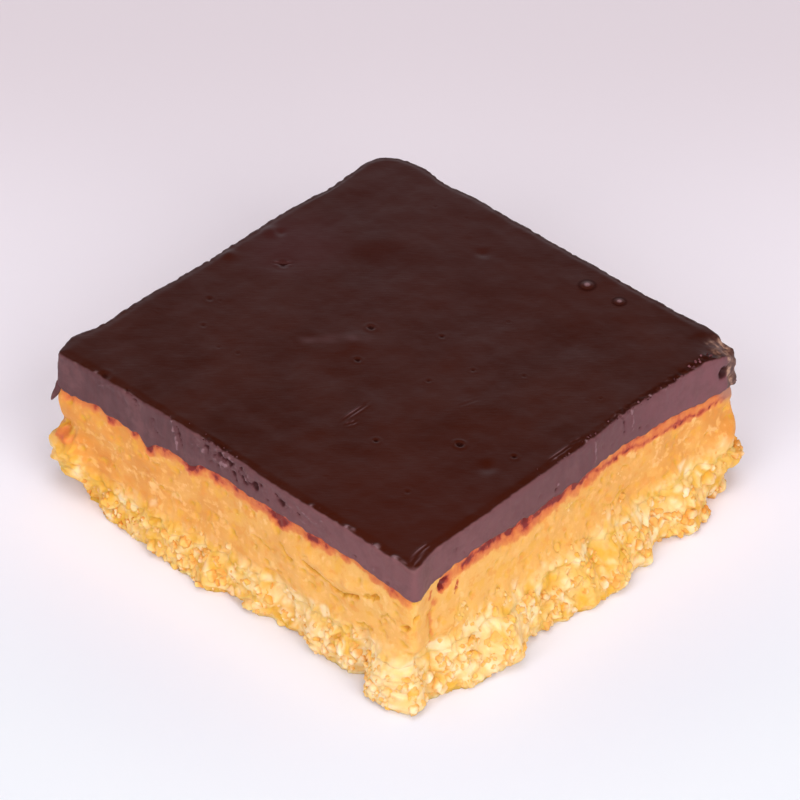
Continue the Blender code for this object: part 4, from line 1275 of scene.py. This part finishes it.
class Heap:
    """Crumbs of one kind, gathered into one mesh."""

    def __init__(self, name):
        self.name, self.points, self.faces, self.count = name, [], [], 0
        self.marks = {"stands": [], "stroke": []}

    def add(self, centre, radius, rng, detail, wall=None, way=None, stroke=0.0):
        """Adds one crumb, a ball knocked out of shape. A wall tells how far each of its points stands out."""
        if radius < FINE_FROM:
            detail = COARSE
        points, faces = BALLS[detail]
        turn = Euler([rng.uniform(0, math.tau) for _ in range(3)]).to_matrix()
        stretch = Vector((1, rng.uniform(0.65, 1.0), rng.uniform(0.55, 0.9))) * radius
        seed = Vector([rng.uniform(0, 99) for _ in range(3)])
        start = len(self.points)
        for point in points:
            knocked = 1 + 0.45 * noise.noise(point * 1.1 + seed) + 0.2 * noise.noise(point * 2.2 + seed)
            if detail == FINE:
                knocked += 0.06 * noise.noise(point * 5.0 + seed)
            shaped = Vector((point.x * stretch.x, point.y * stretch.y, point.z * stretch.z)) * knocked
            place = turn @ shaped + centre
            place.z = max(place.z, 0.0)
            self.points.append(place - PLAN_CENTRE)
            self.marks["stands"].append((place - wall).dot(way) / radius if wall else 1.0)
            self.marks["stroke"].append(stroke)
        self.faces.extend([n + start for n in face] for face in faces)
        self.count += 1

    def finish(self, look, slot):
        """Turns the heap into an object with this finish."""
        marks = {**self.marks, "cut": [CRUMB_CUT] * len(self.points)}
        obj = piece_from(self.name, self.points, self.faces, marks)
        obj.data.materials.append(look)
        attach(obj, "root")
        print(self.name, self.count, "crumbs")


print("balls of", [len(faces) for _, faces in BALLS.values()], "triangles")

# %% [markdown]
# ## Scattering the crumbs
#
# Crumbs are placed by picking a spot of the unit block and asking a layer's own rule where its wall is, so
# they always sit sunk in it: thickly over the base, and thinner and thinner up the filling. The share of
# pale ones follows `paleness`. A few places where the photograph shows a cluster get a pile, which is
# spread around a line between two places of a wall, in millimetres.

# %% Scatter the crumbs
TOASTED_FROM = 0.985
BARE_LEFT = 4.5 * MM
pale, golden, toasted = Heap("pale_crumbs"), Heap("golden_crumbs"), Heap("toasted_crumbs")
rng = random.Random(41)


def heap_for(x, y, rng):
    """The kind of the next crumb at this place."""
    share = rng.random()
    return pale if share < paleness(x, y) else golden if share < TOASTED_FROM else toasted


def scatter(count, smallest, largest, lowest, highest, detail, sink):
    """Spreads crumbs of these radii over the base's wall."""
    for _ in range(count):
        a, b = edge_of_sheet(rng.uniform(0, 4))
        radius = rng.uniform(smallest, largest) * MM
        wall, (out_x, out_y), _ = base_wall(a, b, rng.uniform(lowest, highest))
        if from_left_corner(wall.x, wall.y) < BARE_LEFT and rng.random() < 0.7:
            continue
        way = Vector((out_x, out_y, 0))
        centre = wall - way * radius * rng.uniform(*sink)
        centre.z = max(centre.z, 0.45 * radius)
        heap_for(wall.x, wall.y, rng).add(centre, radius, rng, detail, wall, way)


def scatter_up(count, smallest, largest, sink):
    """Spreads crumbs over the filling's wall, most of them low."""
    added = 0
    while added < count:
        a, b = edge_of_sheet(rng.uniform(0, 4))
        x, y, out_x, out_y, _ = plan(a, b, FILLING_CORNERS)
        height = rng.random() ** 2.2 * 0.8
        if rng.random() > 0.35 + 0.9 * (paleness(x, y) - 0.45) + 0.25 * smooth(1 - 3 * height):
            continue
        place, _ = filling_rule(a, b, height)
        radius = rng.uniform(smallest, largest) * MM * (1 - 0.5 * height)
        way = Vector((out_x, out_y, 0))
        heap_for(x, y, rng).add(place - way * radius * rng.uniform(*sink), radius, rng, COARSE, place, way)
        added += 1


def pile(count, wall, places, spread_out, smallest, largest):
    """Piles pale crumbs on a wall around a line between two places."""
    (a0, z0), (a1, z1) = places
    for _ in range(count):
        t = rng.random()
        along = (a0 + t * (a1 - a0) + rng.gauss(0, spread_out)) * MM
        z = max(0.7, z0 + t * (z1 - z0) - abs(rng.gauss(0, 1.6 * spread_out))) * MM
        along = max(-1.0, min(1.0, along / (HALF_Y if wall == "right" else HALF_X)))
        a, b = (1.0, along) if wall == "right" else (along, -1.0)
        x, y, out_x, out_y, _ = plan(a, b, FILLING_CORNERS)
        low, high = under_filling(x, y), under_chocolate(x, y)
        share = (z - low + OVERLAP) / (high - low + OVERLAP)
        place = filling_rule(a, b, share)[0] if z > low else base_wall(a, b, z / low)[0]
        radius, way = rng.uniform(smallest, largest) * MM, Vector((out_x, out_y, 0))
        centre = place - way * radius * rng.uniform(0.6, 0.95)
        heap = pale if rng.random() < 0.8 else golden
        heap.add(centre, radius, rng, FINE if radius > 0.4 * MM else COARSE, place, way)


scatter(460, 0.5, 0.95, 0.05, 0.85, FINE, (0.4, 0.9))
scatter(560, 0.3, 0.55, 0.03, 0.9, FINE, (0.45, 0.88))
scatter(60, 0.16, 0.28, 0.02, 0.8, COARSE, (0.3, 0.7))
scatter_up(90, 0.35, 0.7, (0.75, 0.95))
scatter_up(30, 0.10, 0.2, (0.2, 0.7))
for row in (
    (22, "right", ((-22.5, 7.6), (-17.5, 10.0)), 0.7, 0.25, 0.75),
    (34, "right", ((-20.0, 8.0), (-9.0, 8.2)), 1.0, 0.25, 0.8),
    (24, "right", ((-4.0, 8.4), (8.0, 8.8)), 1.0, 0.25, 0.8),
    (9, "right", ((-1.8, 12.2), (-0.2, 13.4)), 0.25, 0.25, 0.5),
    (8, "right", ((8.0, 12.4), (9.8, 12.2)), 0.3, 0.2, 0.45),
    (16, "front", ((14.0, 6.2), (22.0, 7.0)), 0.8, 0.25, 0.7),
    (10, "front", ((-8.0, 7.4), (4.0, 7.8)), 0.8, 0.25, 0.7),
    (44, "front", ((21.0, 4.6), (26.8, 4.6)), 1.6, 0.3, 0.7),
    (60, "right", ((-26.6, 4.6), (-14.0, 4.8)), 1.6, 0.3, 0.7),
    (20, "right", ((24.5, 6.0), (26.8, 5.4)), 0.5, 0.3, 0.8),
):
    pile(*row)
for heap, look in ((pale, pale_look), (golden, golden_look), (toasted, toasted_look)):
    heap.finish(look, "crumb")

# %% [markdown]
# ## Shavings of chocolate
#
# Where the knife came down it left a trail of tiny shavings along the edge of the top, thickest towards
# the right corner. They are balls like the crumbs, with the chocolate's finish. Each shaving's own
# `stroke` makes it darker than the rest, or a little paler as a painted highlight, so that a few catch
# the eye as specks.

# %% Make shavings
shavings = Heap("chocolate_shavings")
rng = random.Random(77)


def shave(count, edge, start, end, smallest, largest, reach):
    """Drops shavings on the top along the front or right edge between two places in millimetres."""
    for _ in range(count):
        along, back = rng.uniform(start, end) * MM, abs(rng.gauss(0, reach)) * MM + 0.1 * MM
        x, y = (HALF_X - back, along) if edge == "right" else (along, -HALF_Y + back)
        radius = rng.uniform(smallest, largest) * MM
        place = Vector((x, y, top_of_bar(x, y, back) + 0.3 * radius))
        # the stroke darkens a shaving, or pales it a little as a painted highlight
        shavings.add(place, radius, rng, COARSE, stroke=rng.uniform(-0.22, 0.06))


shave(34, "right", 6, 24, 0.07, 0.17, 0.35)
shave(12, "right", -6, 5, 0.07, 0.18, 0.3)
shave(12, "front", -4.5, 1, 0.07, 0.17, 0.35)
shave(8, "front", -22, 22, 0.05, 0.12, 0.4)
shave(5, "right", 20.5, 25.0, 0.1, 0.2, 0.7)
shavings.finish(chocolate_look, "dark_chocolate")

# %% [markdown]
# ## The curls at the corners
#
# When the knife left the tray it dragged a sliver of chocolate down over the left corner, and a smaller
# one over the right corner. Each hangs there as a thin curl. It is built as a stack of thin rings that
# narrow and bend outwards.

# %% Hang the curls
STEPS_OF_CURL, AROUND_CURL = 26, 14
CURL_CUT = 0.75


def hang_curl(name, start, across, lean, length, half_width, thickness):
    """A curl that hangs from this place: across is its wide way, lean is how far its tip swings out."""
    across = Vector(across).normalized()
    thick = Vector((0, 0, 1)).cross(across)
    bm = bmesh.new()
    rings = []
    for step in range(STEPS_OF_CURL + 1):
        t = step / STEPS_OF_CURL
        narrow = 1.7 * (t + 0.02) ** 0.6 * (1 - t) ** 0.7 + 0.12
        centre = Vector(start) * MM + Vector(lean) * MM * t**1.5 - Vector((0, 0, length * MM * t))
        ring = []
        for n in range(AROUND_CURL):
            angle = math.tau * n / AROUND_CURL
            uneven = 1 + 0.3 * wave(9 * t * MM, n * MM, 0, 2.0 * MM, 50)
            point = centre + across * half_width * MM * narrow * uneven * math.cos(angle)
            point += thick * thickness / 2 * MM * (1 - 0.6 * t) * uneven * math.sin(angle)
            ring.append(bm.verts.new(point - PLAN_CENTRE))
        rings.append(ring)
    for upper, lower in zip(rings, rings[1:]):
        for n in range(AROUND_CURL):
            m = (n + 1) % AROUND_CURL
            bm.faces.new((upper[n], upper[m], lower[m], lower[n]))
    bm.faces.new(rings[0])
    bm.faces.new(rings[-1][::-1])
    bmesh.ops.recalc_face_normals(bm, faces=bm.faces[:])
    mesh = bpy.data.meshes.new(name)
    bm.to_mesh(mesh)
    bm.free()
    mesh.attributes.new("cut", "FLOAT", "POINT").data.foreach_set("value", [CURL_CUT] * len(mesh.vertices))
    mesh.shade_smooth()
    mesh.materials.append(chocolate_look)
    obj = bpy.data.objects.new(name, mesh)
    bpy.context.scene.collection.objects.link(obj)
    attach(obj, "root")
    print(name, [round(v / MM, 1) for v in obj.dimensions], "mm")


hang_curl("left_curl", (-26.75, -26.6, 17.9), (0.75, 0.65, 0), (-1.35, -1.3, 0), 4.7, 0.7, 0.45)
hang_curl("right_curl", (27.1, 27.0, 16.9), (1, -0.3, 0), (0.5, 0.45, 0), 2.4, 0.45, 0.4)

# %% [markdown]
# ## Replacing the plain layers
#
# Each plain layer of the frame stays in the model for its weight and its collisions, and is hidden here
# in favour of the fine one. The crumbs, the shavings and the curls are pieces of their own that ride on
# the same body.

# %% Replace the frame's layers
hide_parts("chocolate_top")
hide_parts("peanut_butter_filling")
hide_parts("crumb_base")
print("layers replaced")

# %% [markdown]
# ## The table
#
# The bar stands on a pale table that runs out of the picture, faintly mauve. It is a flat sheet of six
# metres, so that its edge never shows. Its colour carries painted light: along the line of sight it is
# painted brighter in front and darker behind, as a falloff of light, and close to the bar it is painted
# darker and cooler, as shade.

# %% Lay the table
TABLE_HALF = 3.0


def table_top():
    """A pale matt table under the bar, with painted falloff of light along the line of sight and painted shade
    close to the bar.
    """
    material, tree, shader, place = finish_named("pale_table")
    fine = noise_of(tree, place, 0.6, 3)
    depth = node(tree, "SeparateXYZ", {0: turned_by(tree, place, CAMERA_TURN)}).outputs["Y"]
    colour = painted(
        tree, (0.81, 0.850, 0.895),
        (noise_of(tree, place, 60.0, 2), (0.82, 0.860, 0.905)),
        # painted shade: darker and cooler close to the bar
        (near_spot(tree, place, (0.0, 0.0, 0.0), 34, 64, 0.8), (0.745, 0.775, 0.87)),
        # painted falloff of light: brighter in front and darker behind, along the line of sight
        (ramp(tree, depth, -40.0, 30.0), (0.94, 0.90, 0.965)),
        (ramp(tree, depth, 20.0, 95.0), (0.80, 0.73, 0.775)),
    )
    rough = ramp(tree, fine, 0.3, 0.7, 0.50, 0.60)
    feed(tree, shader, {"Base Color": colour, "Roughness": rough, "Specular IOR Level": 0.2})
    raise_by(tree, shader, (fine, 0.01, 0.3))
    corners = [(x * TABLE_HALF, y * TABLE_HALF, 0) for x, y in ((-1, -1), (1, -1), (1, 1), (-1, 1))]
    obj = piece_from("table", corners, [(0, 1, 2, 3)], {})
    obj.data.materials.append(material)


table_top()

# %% [markdown]
# ## The light
#
# Two softboxes stand low and near on the camera's side, so that the cut walls are brighter than the dark
# top, the front corner is brightest, and the shadows fall behind. A third one high up fills in, and is
# kept out of reflections. What the top mirrors lies beyond the bar. There the surroundings are pale near
# the table and dim higher up, and this is what makes pits and ripples of the dark top readable: a slope
# that faces away is pale, one that faces us is dark.

# %% Set the lights
SOFTBOX_DISTANCE = 0.80


def softbox(name, azimuth, elevation, size, watts, colour):
    """A square softbox that looks at the bar from this direction."""
    way = way_to(math.radians(azimuth), math.radians(elevation))
    data = bpy.data.lights.new(name, "AREA")
    data.shape, data.size, data.energy, data.color = "SQUARE", size, watts, colour
    obj = bpy.data.objects.new(name, data)
    facing = way.to_track_quat("Z", "Y").to_matrix().to_4x4()
    obj.matrix_world = Matrix.Translation(way * SOFTBOX_DISTANCE) @ facing
    bpy.context.scene.collection.objects.link(obj)
    return obj


def surroundings():
    """A studio that is pale near the table and dims towards the ceiling."""
    world = bpy.data.worlds.new("studio")
    world.use_nodes = True
    tree = world.node_tree
    way = node(tree, "TexCoord", {}).outputs["Generated"]
    height = node(tree, "SeparateXYZ", {0: way}).outputs["Z"]
    dimming = ramp(tree, height, 0.22, 0.86, 0.57, 0.02)
    feed(tree, tree.nodes["Background"], {"Strength": dimming, "Color": (0.90, 0.80, 0.87, 1)})
    bpy.context.scene.world = world


softbox("right_softbox", 74, 35, 0.54, 3.95, (1.0, 0.98, 0.98))
softbox("left_softbox", 12, 35, 0.54, 3.15, (1.0, 0.98, 0.99))
softbox("high_softbox", 43, 84, 0.5, 2.5, (1.0, 0.97, 0.99)).visible_glossy = False
surroundings()
bpy.context.scene.view_settings.view_transform = "Standard"
print("lights set")
